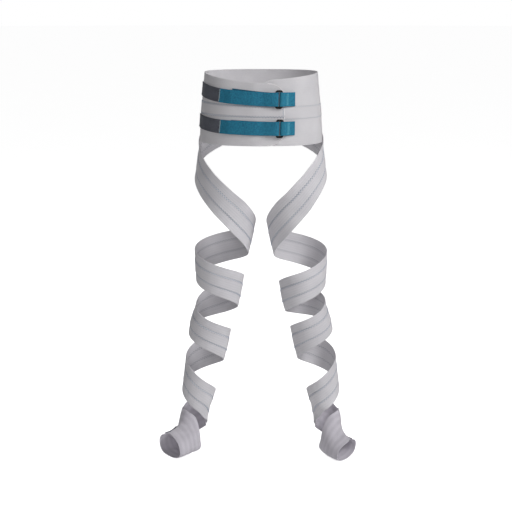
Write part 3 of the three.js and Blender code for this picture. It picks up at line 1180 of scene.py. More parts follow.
@dataclass
class WoundCloth:
    """Cloth wound on a leg."""

    side: Side
    waypoints: tuple[Waypoint, ...]
    width: float
    columns: tuple[int, ...]
    row_step: float = 3.0
    edge: float = CLOTH / 2

    def __post_init__(self) -> None:
        """Works out the cloth's way down the leg and its length."""
        turns = [waypoint.turn for waypoint in self.waypoints]
        self.way = SmoothCurve(turns, [getattr(w, self.side.word) for w in self.waypoints])
        self.form = FORMS[self.side]
        self.fine_turns = np.arange(turns[0], self.last_turn() + NEAR, NEAR)
        line = self.form.point(self.way(self.fine_turns), self.fine_turns)
        self.fine_lengths = lengths_along(line)

    def last_turn(self) -> float:
        """The turn at which the cloth ends."""
        return self.waypoints[-1].turn

    @property
    def length(self) -> float:
        """The cloth's length along its middle."""
        return float(self.fine_lengths[-1])

    def turns_at(self, along: Values) -> Values:
        """The turns round the leg at places along the cloth."""
        return np.interp(along, self.fine_lengths, self.fine_turns)

    def lift(self, turns: Values, height: Values) -> Values:
        """How far what lies under the cloth holds it off the form."""
        return np.zeros(np.broadcast(turns, height).shape)

    def face(self, across: Values) -> Values:
        """The height of the outer face over the inner one, which each cloth has of its own."""
        raise NotImplementedError

    def off_seam(self, across: Values) -> Values | None:
        """How far places across the cloth lie off its seam, if it has one."""
        return None

    def walked(self, turns: Values, across: Values) -> tuple[Values, Values]:
        """Spots of the form under the cloth.

        Args:
            turns: Of the cloth's rows.
            across: Places across it, by row and column.

        Returns:
            Stations and turns, by row and column.
        """
        start = self.way(turns)
        along = self.form.point(self.way(turns + 1), turns + 1)
        along = along - self.form.point(self.way(turns - 1), turns - 1)
        direction = unit(np.cross(along, self.form.slopes(start, turns)[2]))
        reach = int(math.ceil(np.abs(across).max() / WALK_STEP)) + 1
        track = {0: (start, turns)}
        for way in (1, -1):
            spot = (start, turns)
            for i in range(1, reach + 1):
                spot = self.form.step(*spot, direction, way * WALK_STEP)
                track[way * i] = spot
        tracks = [np.stack([track[i][k] for i in range(-reach, reach + 1)], 1) for k in (0, 1)]
        place = across / WALK_STEP + reach
        low = np.clip(np.floor(place).astype(int), 0, 2 * reach - 1)
        share = place - low
        row = np.arange(len(turns))[:, None]
        station, turn = (t[row, low] * (1 - share) + t[row, low + 1] * share for t in tracks)
        return station, turn

    def lay(self, turns: Values, across: Values, over: Values) -> Values:
        """Places on the wound cloth.

        Args:
            turns: Of its rows.
            across: Places across it, by row and column.
            over: Heights over its inner face, by row and column.

        Returns:
            Places, by row and column.
        """
        station, turn = self.walked(turns, across)
        at = self.form.point(station, turn)
        height = over + self.lift(turns[:, None], at[..., 2])
        at = at + self.form.slopes(station, turn)[2] * height[..., None]
        at[..., 0] *= self.side.value
        return at

    def knots(self) -> Values:
        """Places across, between which the columns are spread."""
        return ClothMesh.plain_knots(self.width / 2, self.edge)

    def cloth(self, name: str, start: float = 0.0) -> bpy.types.Object:
        """Makes the cloth.

        Args:
            name: The piece's name.
            start: Where it starts, along its way.

        Returns:
            The object.
        """
        along = start + ClothMesh.rows(self.length - start, self.row_step, self.edge)
        turns = self.turns_at(along)
        places = self.knots()
        knots = np.broadcast_to(places, (len(along), len(places)))
        across = ClothMesh.columns(knots, self.columns)
        mesh = ClothMesh(name, along, across, self.edge, self.off_seam(across))
        return mesh.build(self.face(across), lambda a, o: self.lay(turns, a, o))

    def seam(self, along: Values, across: Values) -> Values:
        """Points of a seam, on the outer face."""
        over = self.face(across) + STITCHES.radius / 2
        return self.lay(self.turns_at(along), across[:, None], over[:, None])[:, 0]


@dataclass
class LegBand(WoundCloth):
    """The long elastic band of one leg, sewn of two strips that overlap in its middle."""

    waypoints: tuple[Waypoint, ...] = BAND_WAY
    width: float = 60.0
    columns: tuple[int, ...] = (8, 8, 10, 8, 8)
    seam_place: float = 11.5
    seam_inside: float = 1.5
    seam_outside: float = 4.5
    seam_end: float = 4.0
    rib_pitch: float = 4.6
    rib_height: float = 0.05
    belt_edge: float = -70.5
    belt_fade: float = 18.0
    climb: Span = (1364.0, 1390.0)

    def lift(self, turns: Values, height: Values) -> Values:
        """Over the belt at its top, and over the start of the foot wrap at its end."""
        on_belt = BELT_LIFT * ease(height, self.belt_edge - self.belt_fade, self.belt_edge)
        return on_belt + (WRAP_LIFT + GAP) * ease(turns, *self.climb)

    def off_seam(self, across: Values) -> Values:
        """How far places across lie outside the nearer seam."""
        return np.abs(across) - self.seam_place

    def face(self, across: Values) -> Values:
        """The doubled strip, faintly ribbed."""
        ribs = self.rib_height * np.cos(across * 2 * math.pi / self.rib_pitch)
        return DOUBLED_STRIP.height(self.off_seam(across)) + ribs

    def knots(self) -> Values:
        """Places across, which keep the columns close along the two seams.

        Returns:
            Rising places, from edge to edge.
        """
        half = self.width / 2
        inside, outside = self.seam_place - self.seam_inside, self.seam_place + self.seam_outside
        rising = np.array([inside, outside, half - self.edge, half])
        return np.concatenate([-rising[::-1], rising])

    def build(self, dresser: Dresser) -> None:
        """Makes and dresses the band and its stitching.

        Args:
            dresser: What finishes the pieces.
        """
        word = self.side.word
        cloth = self.cloth(f"{word}_leg_band_cloth")
        along, sway = SEAM.points(self.seam_end, self.length - self.seam_end)
        runs = [self.seam(along, way * (self.seam_place + sway)) for way in (-1.0, 1.0)]
        reach = self.width / 2 - self.seam_end
        rung, sway = SEAM.points(-reach, reach)
        for end in (self.seam_end, 2 * self.seam_end, self.length - self.seam_end):
            runs.append(self.seam(end + sway, rung))
        thread = STITCHES.build(f"{word}_leg_band_stitching", runs)
        dresser.dress(cloth, BAND_ELASTIC)
        dresser.dress(thread, SEAM_THREAD)
        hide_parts(*(f"{word}_{part}_band" for part in BAND_PARTS))


@dataclass
class FootWrap(WoundCloth):
    """The ribbed elastic that goes round one foot, from behind the ankle and back onto itself."""

    waypoints: tuple[Waypoint, ...] = WRAP_WAY
    width: float = 64.0
    columns: tuple[int, ...] = (60,)
    row_step: float = 2.0
    ribs: int = 3
    narrow_pitch: float = 5.3
    narrow_height: float = 0.12
    climb: Span = (380.0, 425.0)

    def last_turn(self) -> float:
        """The turn at which the wrap ends."""
        return WRAP_END[self.side]

    def lift(self, turns: Values, height: Values) -> Values:
        """Over its own start at its end."""
        return super().lift(turns, height) + WRAP_LIFT * ease(turns, *self.climb)

    def face(self, across: Values) -> Values:
        """Broad soft ribs, with narrow ones over them.

        Args:
            across: Places across the wrap.

        Returns:
            Heights of the outer face over the inner one.
        """
        broad = 0.5 + 0.5 * np.cos(across * 2 * math.pi * self.ribs / self.width)
        narrow = np.cos(across * 2 * math.pi / self.narrow_pitch)
        return CLOTH + WRAP_RIB * broad + self.narrow_height * narrow

    def build(self, dresser: Dresser) -> None:
        """Makes and dresses the wrap.

        Args:
            dresser: What finishes the pieces.
        """
        word = self.side.word
        cloth = self.cloth(f"{word}_foot_wrap_cloth")
        dresser.dress(cloth, WRAP_ELASTIC)
        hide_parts(f"{word}_foot_wrap")


@dataclass
class FootTab(FootWrap):
    """The hook tape that closes one foot wrap, on the outside of its end."""

    width: float = 42.6
    columns: tuple[int, ...] = (20,)
    edge: float = HOOK_TAPE / 2
    seam_inset: float = 2.0
    seam_stitch: float = 1.6
    seam_swing: float = 1.0

    def lift(self, turns: Values, height: Values) -> Values:
        """Over the end of the wrap."""
        return super().lift(turns, height) + WRAP_LIFT

    def face(self, across: Values) -> Values:
        """Even tape."""
        return np.full(np.shape(across), HOOK_TAPE)

    def build(self, dresser: Dresser) -> None:
        """Makes and dresses the tab and its stitching.

        Args:
            dresser: What finishes the pieces.
        """
        word = self.side.word
        start = float(np.interp(TAB_START[self.side], self.fine_turns, self.fine_lengths))
        cloth = self.cloth(f"{word}_foot_hook_tape", start)
        reach = self.width / 2 - self.seam_inset
        rung = np.arange(-reach, reach, self.seam_stitch)
        line = self.seam(start + self.seam_inset + zigzag(len(rung), self.seam_swing), rung)
        thread = STITCHES.build(f"{word}_foot_tape_stitching", [line])
        dresser.dress(cloth, HOOK_BACK)
        dresser.dress(thread, TAPE_THREAD)
        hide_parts(f"{word}_foot_tab")


class BeltSeam(NamedTuple):
    """Heights of the belt's two seams at an angle from the middle of the front, left positive."""

    angle: float
    low: float
    high: float


BELT_SEAMS = (
    BeltSeam(-364, -18.5, 4),
    BeltSeam(-270, -16.5, 5.5),
    BeltSeam(-180, -14, 8.5),
    BeltSeam(-90, -10.5, 11.5),
    BeltSeam(-45, -12, 8),
    BeltSeam(0, -13.5, 5),
    BeltSeam(29, -14, 4.5),
)


@dataclass
class LapBelt:
    """The belt: two elastic strips sewn one over the other, closed by laying its right end on its left."""

    top: float = 67.0
    bottom: float = -68.5
    over_end: float = 28.5
    under_end: float = -363.5
    measured_to: float = 80.0
    lift_span: Span = (-28.0, -7.0)
    over_dip: float = 17.0
    under_dip: float = 11.0
    dip_sharpness: float = 1.4
    corner_run: float = 21.0
    corner_rise: float = 26.0
    corner_rows: int = 26
    edge: float = CLOTH / 2
    row_angle: float = 1.3
    row_length: float = 2.4
    hem_clear: float = 1.5
    seam_inside: float = 2.0
    seam_outside: float = 5.0
    columns: tuple[int, ...] = (14, 10, 5, 10, 14)
    side_angle: float = -110.0
    end_seam: float = 3.0
    edge_points: int = 200
    edge_stitch: float = 0.8
    edge_inset: float = 1.6
    edge_swing: float = 0.8

    def __post_init__(self) -> None:
        """Measures the belt's round."""
        angles = [seam.angle for seam in BELT_SEAMS]
        self.low = SmoothCurve(angles, [seam.low for seam in BELT_SEAMS])
        self.high = SmoothCurve(angles, [seam.high for seam in BELT_SEAMS])
        self.fine_angles = np.arange(self.under_end, self.measured_to + NEAR, NEAR)
        line = self.spot(self.fine_angles, np.zeros_like(self.fine_angles), 0.0)
        self.fine_round = lengths_along(line)
        self.fine_round -= np.interp(0, self.fine_angles, self.fine_round)

    @staticmethod
    def spot(angle: Values, height: Values, over: "Values | float") -> Values:
        """Places over the waist.

        Args:
            angle: From the middle of the front, left positive.
            height: From the middle of the belt.
            over: Height over the form.

        Returns:
            Places.
        """
        form = FORMS[Side.LEFT]
        turn = 180 - np.asarray(angle, float)
        station = -np.asarray(height, float)
        over = np.broadcast_to(over, np.broadcast(turn, station).shape)
        return form.point(station, turn) + form.slopes(station, turn)[2] * over[..., None]

    def angle_at(self, place: Values) -> Values:
        """The angle at a place along the belt's round, from the middle of the front."""
        return np.interp(place, self.fine_round, self.fine_angles)

    def place_at(self, angle: Values) -> Values:
        """The place along the belt's round at an angle."""
        return np.interp(angle, self.fine_angles, self.fine_round)

    def lift(self, angle: Values) -> Values:
        """How far the over end is held off the form by the under end."""
        return BELT_LIFT * ease(angle, *self.lift_span)

    def edges(self, angle: Values) -> tuple[Values, Values]:
        """Heights of the belt's edges.

        Args:
            angle: From the middle of the front, left positive.

        Returns:
            Heights of the bottom and of the top edge.
        """
        ahead = np.maximum(0, np.cos(np.radians(angle)))
        dip = np.where(angle > -180, self.over_dip, self.under_dip) * ahead**self.dip_sharpness
        to_end = np.minimum(self.over_end - angle, angle - self.under_end)
        near_end = np.clip(1 - to_end / self.corner_run, 0, 1)
        corner = self.corner_rise * (1 - np.sqrt(1 - near_end**2))
        return self.bottom + corner, self.top - dip - corner

    def off_seam(self, angle: Values, height: Values) -> Values:
        """How far heights lie outside the nearer seam."""
        return np.maximum(self.low(angle) - height, height - self.high(angle))

    def face(self, angle: Values, height: Values) -> Values:
        """The height of the outer face over the inner one."""
        return DOUBLED_STRIP.height(self.off_seam(angle, height))

    def angles(self) -> Values:
        """Angles of the belt's rows.

        Returns:
            Rising angles, close at the rounded ends.
        """
        to_round = np.linspace(0, math.pi / 2, self.corner_rows + 1)
        corner = self.corner_run * (1 - np.cos(to_round))
        hem = ClothMesh.hem(self.edge) * self.row_angle / self.row_length
        corner = np.concatenate([hem, corner[corner > hem[-1] * self.hem_clear]])
        start, end = self.under_end + corner[-1], self.over_end - corner[-1]
        count = round((end - start) / self.row_angle)
        middle = np.linspace(start, end, count + 1)[1:-1]
        return np.concatenate([self.under_end + corner, middle, self.over_end - corner[::-1]])

    def seam(self, angle: Values, height: Values) -> Values:
        """Points of a seam, on the outer face."""
        over = self.lift(angle) + self.face(angle, height) + STITCHES.radius / 3
        return self.spot(angle, height, over)

    def long_runs(self, start: float, end: float) -> list[Values]:
        """Points of the two seams along the belt.

        Args:
            start: Where they start, along the belt's round.
            end: Where they end.

        Returns:
            The lower and the upper seam.
        """
        place, sway = SEAM.points(start, end)
        angle = self.angle_at(place)
        return [self.seam(angle, self.low(angle) - sway), self.seam(angle, self.high(angle) + sway)]

    def edge_run(self) -> Values:
        """The near-white thread that is sewn over the edge of the belt's over end, whose brightness also
        paints the highlight along the hem's edge.

        Returns:
            Points on the outer face.
        """
        to_round = np.linspace(0, math.pi / 2, self.edge_points)
        angle = self.over_end - self.corner_run * (1 - np.sin(to_round))
        bottom, top = self.edges(angle)
        angle = np.concatenate([angle, angle[::-1]])
        height = np.concatenate([bottom, top[::-1]])
        line = np.stack([self.place_at(angle), height], axis=1)
        line = points_at(np.arange(0, lengths_along(line)[-1], self.edge_stitch), line)
        toward = unit(np.gradient(line, axis=0))
        inward = np.stack([-toward[:, 1], toward[:, 0]], axis=1)
        inset = self.edge_inset + zigzag(len(line), self.edge_swing)
        line = line + inward * inset[:, None]
        return self.seam(self.angle_at(line[:, 0]), line[:, 1])

    def cloth(self) -> bpy.types.Object:
        """Makes the belt's cloth.

        Returns:
            The object.
        """
        angles = self.angles()
        bottom, top = self.edges(angles)
        low, high = self.low(angles), self.high(angles)
        knots = [bottom, bottom + self.edge, low - self.seam_outside, low + self.seam_inside]
        knots += [high - self.seam_inside, high + self.seam_outside, top - self.edge, top]
        across = ClothMesh.columns(np.stack(knots, axis=1), self.columns)
        spread = np.broadcast_to(angles[:, None], across.shape)
        off_seam = self.off_seam(spread, across)
        mesh = ClothMesh("lap_belt_cloth", self.place_at(angles), across, self.edge, off_seam)
        lift = self.lift(angles)[:, None]
        return mesh.build(self.face(spread, across), lambda a, o: self.spot(spread, a, o + lift))

    def build(self, dresser: Dresser) -> None:
        """Makes and dresses the belt and its stitching.

        Args:
            dresser: What finishes the pieces.
        """
        cloth = self.cloth()
        start, side, end = self.place_at(np.array([self.under_end, self.side_angle, self.over_end]))
        last = end - self.end_seam
        end_angle = self.angle_at(last)
        rung, sway = SEAM.points(float(self.low(end_angle)), float(self.high(end_angle)))
        dark = [*self.long_runs(side, last), self.seam(self.angle_at(last + sway), rung)]
        threads = [
            STITCHES.build("lap_belt_stitching", self.long_runs(start + self.end_seam, side)),
            STITCHES.build("lap_belt_end_stitching", dark),
            STITCHES.build("lap_belt_edge_highlight_stitching", [self.edge_run()]),
        ]
        dresser.dress(cloth, BELT_ELASTIC)
        for thread, finish in zip(threads, (FAINT_THREAD, SEAM_THREAD, EDGE_THREAD_HIGHLIGHT)):
            dresser.dress(thread, finish)
        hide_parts("lap_belt")


@dataclass
class StrapSet:
    """One tightening strap: webbing turned back through a ring, its hook tape and the ring's loop."""

    belt: LapBelt
    word: str
    height: float
    side_rise: float
    tab_rise: float
    teal_end: float
    loop_end: float
    peek: float
    width: float = 26.0
    columns: tuple[int, ...] = (14,)
    row_step: float = 1.6
    under_start: float = -57.0
    lean: float = 0.055
    settle: float = 16.0
    settle_ease: float = 2.0
    drop: Span = (1.5, 8.0)
    fold_steps: int = 14
    tab_end: float = -164.0
    tab_rise_start: float = -70.0
    tab_corner: float = 6.0
    tab_corner_rows: int = 10
    ring_place: float = 32.5
    ring_run: float = 30.0
    ring_high: float = 35.0
    ring_wide: float = 14.5
    ring_bar: float = 4.0
    ring_thick: float = 3.6
    ring_corner: float = 4.6
    ring_corner_steps: int = 8
    ring_bevel: float = 1.3
    ring_bevel_steps: int = 4
    ring_rim_angle: float = 60.0
    seam_inset: float = 1.8
    tack_place: float = 48.5
    tack_apart: float = 1.2
    tack_stitch: float = 0.7
    tack_swing: float = 1.1
    joint_stitch: float = 1.3
    joint_swing: float = 1.3
    tape_seam_start: float = 4.0
    tape_stitch: float = 1.7
    tape_swing: float = 0.7

    @property
    def fold_radius(self) -> float:
        """Of the webbing's middle, where it goes round a bar of the ring."""
        return math.hypot(self.ring_bar, self.ring_thick) / 2 + GAP + WEBBING / 2

    @property
    def ring_height(self) -> float:
        """Of the ring's middle over the form."""
        return float(self.lowest(self.ring_place)) + self.fold_radius

    @property
    def bar_place(self) -> float:
        """Of the middle of a bar, from the middle of the ring."""
        return (self.ring_wide - self.ring_bar) / 2

    def belt_face(self, place: Values) -> Values:
        """Height of the belt's outer face.

        Args:
            place: Along the belt's round.

        Returns:
            Heights over the form, with the gap that layers keep.
        """
        past_end = np.asarray(place, float) - float(self.belt.place_at(self.belt.over_end))
        on_over_end = BELT_LIFT * (1 - ease(past_end, *self.drop))
        lifted = np.minimum(self.belt.lift(self.belt.angle_at(place)), on_over_end)
        return CLOTH + GAP + lifted

    def lowest(self, place: Values) -> Values:
        """Height of the middle of webbing that lies on the belt."""
        return self.belt_face(place) + WEBBING / 2

    def second_layer(self, place: Values) -> Values:
        """Height of the strap's middle where it comes back over itself.

        Args:
            place: Along the belt's round.

        Returns:
            Heights over the form.
        """
        start = self.under_start - self.settle
        doubled = ease(place, start, self.under_start - self.settle_ease)
        under = self.lowest(place) + (WEBBING + GAP) * doubled
        bar = self.ring_place - self.bar_place
        share = ease(place, bar - self.ring_run, bar)
        return under + (self.ring_height + self.fold_radius - under) * share

    def loop_layer(self, place: Values) -> Values:
        """Height of the middle of the ring loop's upper layer.

        Args:
            place: Along the belt's round.

        Returns:
            Heights over the form.
        """
        bar = self.ring_place + self.bar_place
        under = self.lowest(place) + WEBBING + GAP
        on_ring = self.ring_height + self.fold_radius
        return on_ring + (under - on_ring) * ease(place, bar, bar + self.settle)

    def bent(self, place: Values, across: Values, over: Values) -> Values:
        """Places of the flat strap, bent on the belt.

        Args:
            place: Along the belt's round.
            across: Across the strap.
            over: Height over the form.

        Returns:
            Places.
        """
        back = -np.asarray(place, float)
        rise = self.side_rise * ease(back, -self.ring_place, -self.tab_end)
        rise = rise + self.tab_rise * ease(back, -self.tab_rise_start, -self.tab_end)
        angle = self.belt.angle_at(place + self.lean * across)
        return self.belt.spot(angle, self.height + rise + across, over)

    def run(self, start: float, end: float, over: Callable[[Values], Values]) -> Values:
        """A stretch of webbing on the belt.

        Args:
            start: Where it starts, along the belt's round.
            end: Where it ends.
            over: Gives the height of its middle at places along the round.

        Returns:
            Places and heights.
        """
        count = max(2, round(abs(end - start) / self.row_step))
        place = np.linspace(start, end, count + 1)
        return np.stack([place, over(place)], axis=1)

    def fold(self, bar: float, way: float) -> Values:
        """Webbing round a bar of the ring, from under it to over it.

        Args:
            bar: The bar's place along the belt's round.
            way: Which side it goes round: 1 left, -1 right.

        Returns:
            Places and heights.
        """
        turn = np.linspace(0, math.pi, self.fold_steps + 1)[1:-1]
        place = bar + way * self.fold_radius * np.sin(turn)
        return np.stack([place, self.ring_height - self.fold_radius * np.cos(turn)], axis=1)

    def rungs(self, stitch: float) -> Values:
        """Places across the strap of a seam from edge to edge."""
        reach = self.width / 2 - self.seam_inset
        return np.arange(-reach, reach, stitch)

    def on_tape(self, place: Values, across: Values) -> Values:
        """Points of a seam, on the outer face of the hook tape."""
        over = self.belt_face(place) + HOOK_TAPE + STITCHES.radius / 2
        return self.bent(place, across, over)

    def webbing(self, name: str, line: Values, shift: Callable[[Values], Values]) -> bpy.types.Object:
        """Makes webbing along a line.

        Args:
            name: The piece's name.
            line: Places and heights of its middle.
            shift: How far it is moved across, at places along it.

        Returns:
            The object.
        """
        radius = WEBBING / 2
        measure = lengths_along(line)
        length = float(measure[-1])
        clear = measure[(measure > 2 * radius) & (measure < length - 2 * radius)]
        along = np.union1d(ClothMesh.rows(length, self.row_step, radius), clear)
        spot = points_at(along, line)
        toward = unit(np.gradient(spot, along, axis=0))
        knots = ClothMesh.plain_knots(np.full(len(along), self.width / 2), radius)
        mesh = ClothMesh(name, along, ClothMesh.columns(knots, self.columns), radius)
        moved = shift(along)[:, None]

        def lay(across: Values, over: Values) -> Values:
            """Bends the webbing's flat section on the belt.

            Args:
                across: Places across it, by row and column.
                over: Heights over its inner face, by row and column.

            Returns:
                Places, by row and column.
            """
            off = over - radius
            place = spot[:, :1] - toward[:, 1:] * off
            height = spot[:, 1:] + toward[:, :1] * off
            return self.bent(place, across + moved, height)

        return mesh.build(np.full(mesh.across.shape, WEBBING), lay)

    def build_strap(self, dresser: Dresser) -> None:
        """Makes and dresses the strap.

        Args:
            dresser: What finishes the pieces.
        """
        bar = self.ring_place - self.bar_place
        under = self.run(self.under_start, bar, self.lowest)
        back = self.run(bar, self.teal_end, self.second_layer)
        line = np.concatenate([under, self.fold(bar, 1.0), back])
        strap = self.webbing(
            f"{self.word}_strap_webbing",
            line,
            lambda along: self.peek * (1 - ease(along, 0, bar - self.under_start)),
        )
        dresser.dress(strap, STRAP_PILE)
        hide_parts(f"{self.word}_strap")

    def build_loop(self, dresser: Dresser) -> None:
        """Makes and dresses the ring's loop and its bar tack.

        Args:
            dresser: What finishes the pieces.
        """
        bar = self.ring_place + self.bar_place
        under = self.run(self.loop_end, bar, self.lowest)
        back = self.run(bar, self.loop_end, self.loop_layer)
        line = np.concatenate([under, self.fold(bar, -1.0), back])
        loop = self.webbing(f"{self.word}_ring_loop_webbing", line, np.zeros_like)
        rung = self.rungs(self.tack_stitch)
        runs = []
        for middle in (self.tack_place - self.tack_apart, self.tack_place + self.tack_apart):
            place = middle + zigzag(len(rung), self.tack_swing)
            over = self.loop_layer(place) + WEBBING / 2 + STITCHES.radius / 2
            runs.append(self.bent(place, rung, over))
        tack = STITCHES.build(f"{self.word}_ring_loop_tack", runs)
        dresser.dress(loop, LOOP_WEBBING)
        dresser.dress(tack, TEAL_THREAD)
        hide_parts(f"{self.word}_ring_loop")

    def tape(self, start: float, length: float) -> bpy.types.Object:
        """Makes the hook tape, with a round end.

        Args:
            start: Where it starts, along the belt's round.
            length: How long it is.

        Returns:
            The object.
        """
        radius = HOOK_TAPE / 2
        straight = length - self.tab_corner
        turn = np.linspace(0, math.pi / 2, self.tab_corner_rows)
        along = ClothMesh.rows(length, self.row_step, radius)
        along = np.union1d(along[along < straight], length - self.tab_corner * (1 - np.sin(turn)))
        along = np.union1d(along, length - ClothMesh.hem(radius))
        past = np.clip((along - straight) / self.tab_corner, 0, 1)
        half = self.width / 2 - self.tab_corner * (1 - np.sqrt(1 - past**2))
        across = ClothMesh.columns(ClothMesh.plain_knots(half, radius), self.columns)
        place = np.broadcast_to((start - along)[:, None], across.shape)
        base = self.belt_face(place)
        mesh = ClothMesh(f"{self.word}_hook_tape", along, across, radius)
        return mesh.build(np.full(across.shape, HOOK_TAPE), lambda a, o: self.bent(place, a, base + o))

    def build_tab(self, dresser: Dresser) -> None:
        """Makes and dresses the hook tape at the strap's end, with its seams.

        Args:
            dresser: What finishes the pieces.
        """
        start = self.teal_end - GAP
        length = start - self.tab_end
        tape = self.tape(start, length)
        rung = self.rungs(self.joint_stitch)
        sway = self.teal_end + zigzag(len(rung), self.joint_swing)
        joint = STITCHES.build(f"{self.word}_strap_joint", [self.on_tape(sway, rung)])
        place = start - np.arange(self.tape_seam_start, length - self.tab_corner, self.tape_stitch)
        sway = zigzag(len(place), self.tape_swing)
        inside = self.width / 2 - self.seam_inset
        rows = [self.on_tape(place, edge * inside + sway) for edge in (-1.0, 1.0)]
        thread = STITCHES.build(f"{self.word}_hook_tape_stitching", rows)
        dresser.dress(tape, HOOK_BACK)
        dresser.dress(joint, PALE_THREAD)
        dresser.dress(thread, TAPE_THREAD)
        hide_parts(f"{self.word}_hook_tab")

    def build_ring(self, dresser: Dresser) -> None:
        """Makes and dresses the moulded ring.

        Args:
            dresser: What finishes the pieces.
        """
        rounded = {"profile": 0.5, "material": -1}
        mesh = bmesh.new()
        bmesh.ops.create_grid(mesh, x_segments=1, y_segments=1, size=0.5)
        bmesh.ops.scale(mesh, vec=(self.ring_wide * MM, self.ring_high * MM, 1), verts=mesh.verts[:])
        bmesh.ops.bevel(
            mesh,
            geom=mesh.verts[:],
            offset=self.ring_corner * MM,
            segments=self.ring_corner_steps,
            affect="VERTICES",
            **rounded,
        )
        bmesh.ops.inset_region(
            mesh,
            faces=mesh.faces[:],
            thickness=self.ring_bar * MM,
            use_even_offset=True,
            use_boundary=True,
        )
        inside = min(mesh.faces, key=lambda face: max(v.co.length for v in face.verts))
        bmesh.ops.delete(mesh, geom=[inside], context="FACES")
        lifted = bmesh.ops.extrude_face_region(mesh, geom=mesh.faces[:])
        moved = [part for part in lifted["geom"] if isinstance(part, bmesh.types.BMVert)]
        bmesh.ops.translate(mesh, verts=moved, vec=(0, 0, self.ring_thick * MM))
        bmesh.ops.translate(mesh, verts=mesh.verts[:], vec=(0, 0, -self.ring_thick * MM / 2))
        bmesh.ops.recalc_face_normals(mesh, faces=mesh.faces[:])
        sharp = math.radians(self.ring_rim_angle)
        bmesh.ops.bevel(
            mesh,
            geom=[edge for edge in mesh.edges if edge.calc_face_angle(0) > sharp],
            offset=self.ring_bevel * MM,
            segments=self.ring_bevel_steps,
            affect="EDGES",
            **rounded,
        )
        bmesh.ops.transform(mesh, matrix=self.ring_frame(), verts=mesh.verts[:])
        bmesh.ops.recalc_face_normals(mesh, faces=mesh.faces[:])
        ring = as_object(f"{self.word}_ring_moulding", mesh)
        dresser.dress(ring, RING_PLASTIC)
        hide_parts(f"{self.word}_ring")

    def ring_frame(self) -> Matrix:
        """The ring's place and turn on the belt.

        Returns:
            A matrix, in metres.
        """

        def near(along: float, up: float) -> Vector:
            """A place beside the ring's middle."""
            spot = (self.ring_place + along, up, self.ring_height)
            return Vector(self.bent(*(np.array(value) for value in spot)).tolist())

        across = near(NEAR, 0) - near(-NEAR, 0)
        upright = (near(0, NEAR) - near(0, -NEAR)).normalized()
        outward = across.cross(upright).normalized()
        level = upright.cross(outward).normalized()
        turned = Matrix((level, upright, outward)).transposed().to_4x4()
        return Matrix.Translation(near(0, 0) * MM) @ turned

    def build(self, dresser: Dresser) -> None:
        """Makes and dresses all pieces of the strap.

        Args:
            dresser: What finishes the pieces.
        """
        self.build_ring(dresser)
        self.build_strap(dresser)
        self.build_loop(dresser)
        self.build_tab(dresser)


UPPER_STRAP = {
    "word": "upper",
    "height": 19.0,
    "side_rise": 10.5,
    "tab_rise": 6.0,
    "teal_end": -82.5,
    "loop_end": 64.5,
    "peek": 2.8,
}
LOWER_STRAP = {
    "word": "lower",
    "height": -35.5,
    "side_rise": 4.5,
    "tab_rise": 5.0,
    "teal_end": -78.0,
    "loop_end": 61.5,
    "peek": 0.9,
}


class Lamp(NamedTuple):
    """A soft studio lamp, in metres and watts."""

    name: str
    place: tuple[float, float, float]
    size: float
    power: float


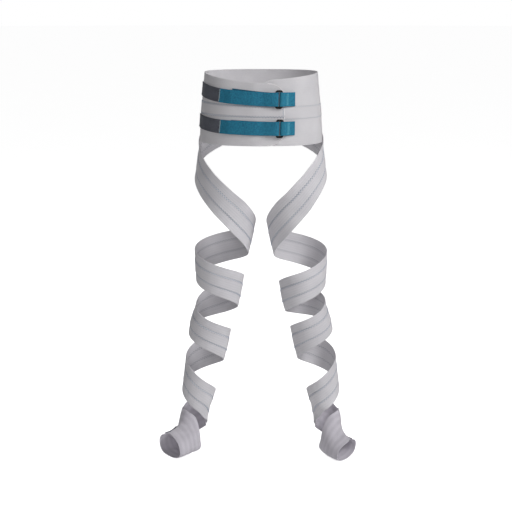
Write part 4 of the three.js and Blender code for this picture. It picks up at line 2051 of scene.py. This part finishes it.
@dataclass
class Studio:
    """Floor, lamps, surround and camera."""

    target: tuple[float, float, float] = (0.0, 0.0, -0.3)
    camera_place: tuple[float, float, float] = (-0.010, -2.448, 0.208)
    camera_pitch: float = 11.7
    lens: float = 87.89
    sensor: float = 36.0
    floor_reach: float = 40.0
    floor_sides: int = 64
    surround: float = 0.15
    lamps: tuple[Lamp, ...] = (
        Lamp("key_lamp", (1.85, -1.45, 1.45), 1.3, 45.0),
        Lamp("front_lamp", (-0.3, -3.0, 0.7), 1.6, 15.0),
        Lamp("back_lamp", (-0.6, 2.4, 1.6), 1.6, 30.0),
    )

    def build(self) -> None:
        """Makes the studio."""
        self.build_floor()
        self.build_lamps()
        self.build_surround()
        self.build_camera()

    def build_floor(self) -> None:
        """Lays the floor under the lowest point of the brace."""
        mesh = bmesh.new()
        bmesh.ops.create_circle(mesh, cap_ends=True, segments=self.floor_sides, radius=self.floor_reach)
        bmesh.ops.translate(mesh, verts=mesh.verts[:], vec=(0, 0, CAD_BOX[0].z - MM))
        floor = as_object("studio_floor", mesh, smooth=False)
        floor.data.materials.append(FLOOR_PAINT.material())

    def build_lamps(self) -> None:
        """Hangs the lamps, all turned to the brace."""
        for lamp in self.lamps:
            data = bpy.data.lights.new(lamp.name, "AREA")
            data.shape = "DISK"
            data.size = lamp.size
            data.energy = lamp.power
            made = in_scene(lamp.name, data)
            made.location = lamp.place
            toward = Vector(self.target) - Vector(lamp.place)
            made.rotation_euler = toward.to_track_quat("-Z", "Y").to_euler()

    def build_surround(self) -> None:
        """Makes the room white to look at, and dim enough for the lamps to shade the brace."""
        world = bpy.data.worlds.new("studio_surround")
        world.use_nodes = True
        nodes, links = world.node_tree.nodes, world.node_tree.links
        lit, seen = nodes["Background"], nodes.new("ShaderNodeBackground")
        for background, strength in ((lit, self.surround), (seen, 1.0)):
            background.inputs["Color"].default_value = (*WHITE, 1.0)
            background.inputs["Strength"].default_value = strength
        path = nodes.new("ShaderNodeLightPath")
        mix = nodes.new("ShaderNodeMixShader")
        links.new(path.outputs["Is Camera Ray"], mix.inputs[0])
        links.new(lit.outputs[0], mix.inputs[1])
        links.new(seen.outputs[0], mix.inputs[2])
        links.new(mix.outputs[0], nodes["World Output"].inputs["Surface"])
        bpy.context.scene.world = world

    def build_camera(self) -> None:
        """Sets the camera at the photograph's angle."""
        data = bpy.data.cameras.new("studio_camera")
        data.sensor_width = self.sensor
        data.lens = self.lens
        camera = in_scene("studio_camera", data)
        camera.location = self.camera_place
        camera.rotation_euler = Euler((math.radians(90 - self.camera_pitch), 0, 0))
        bpy.context.scene.camera = camera
        bpy.context.scene.view_settings.view_transform = "Standard"


def main() -> None:
    """Builds the studio and the brace."""
    logging.basicConfig(level=logging.INFO, format="%(name)s %(message)s")
    dresser = Dresser()
    Studio().build()
    belt = LapBelt()
    belt.build(dresser)
    for sizes in (UPPER_STRAP, LOWER_STRAP):
        StrapSet(belt, **sizes).build(dresser)
    for side in Side:
        FootWrap(side).build(dresser)
        FootTab(side).build(dresser)
        LegBand(side).build(dresser)


if __name__ == "__main__":
    main()
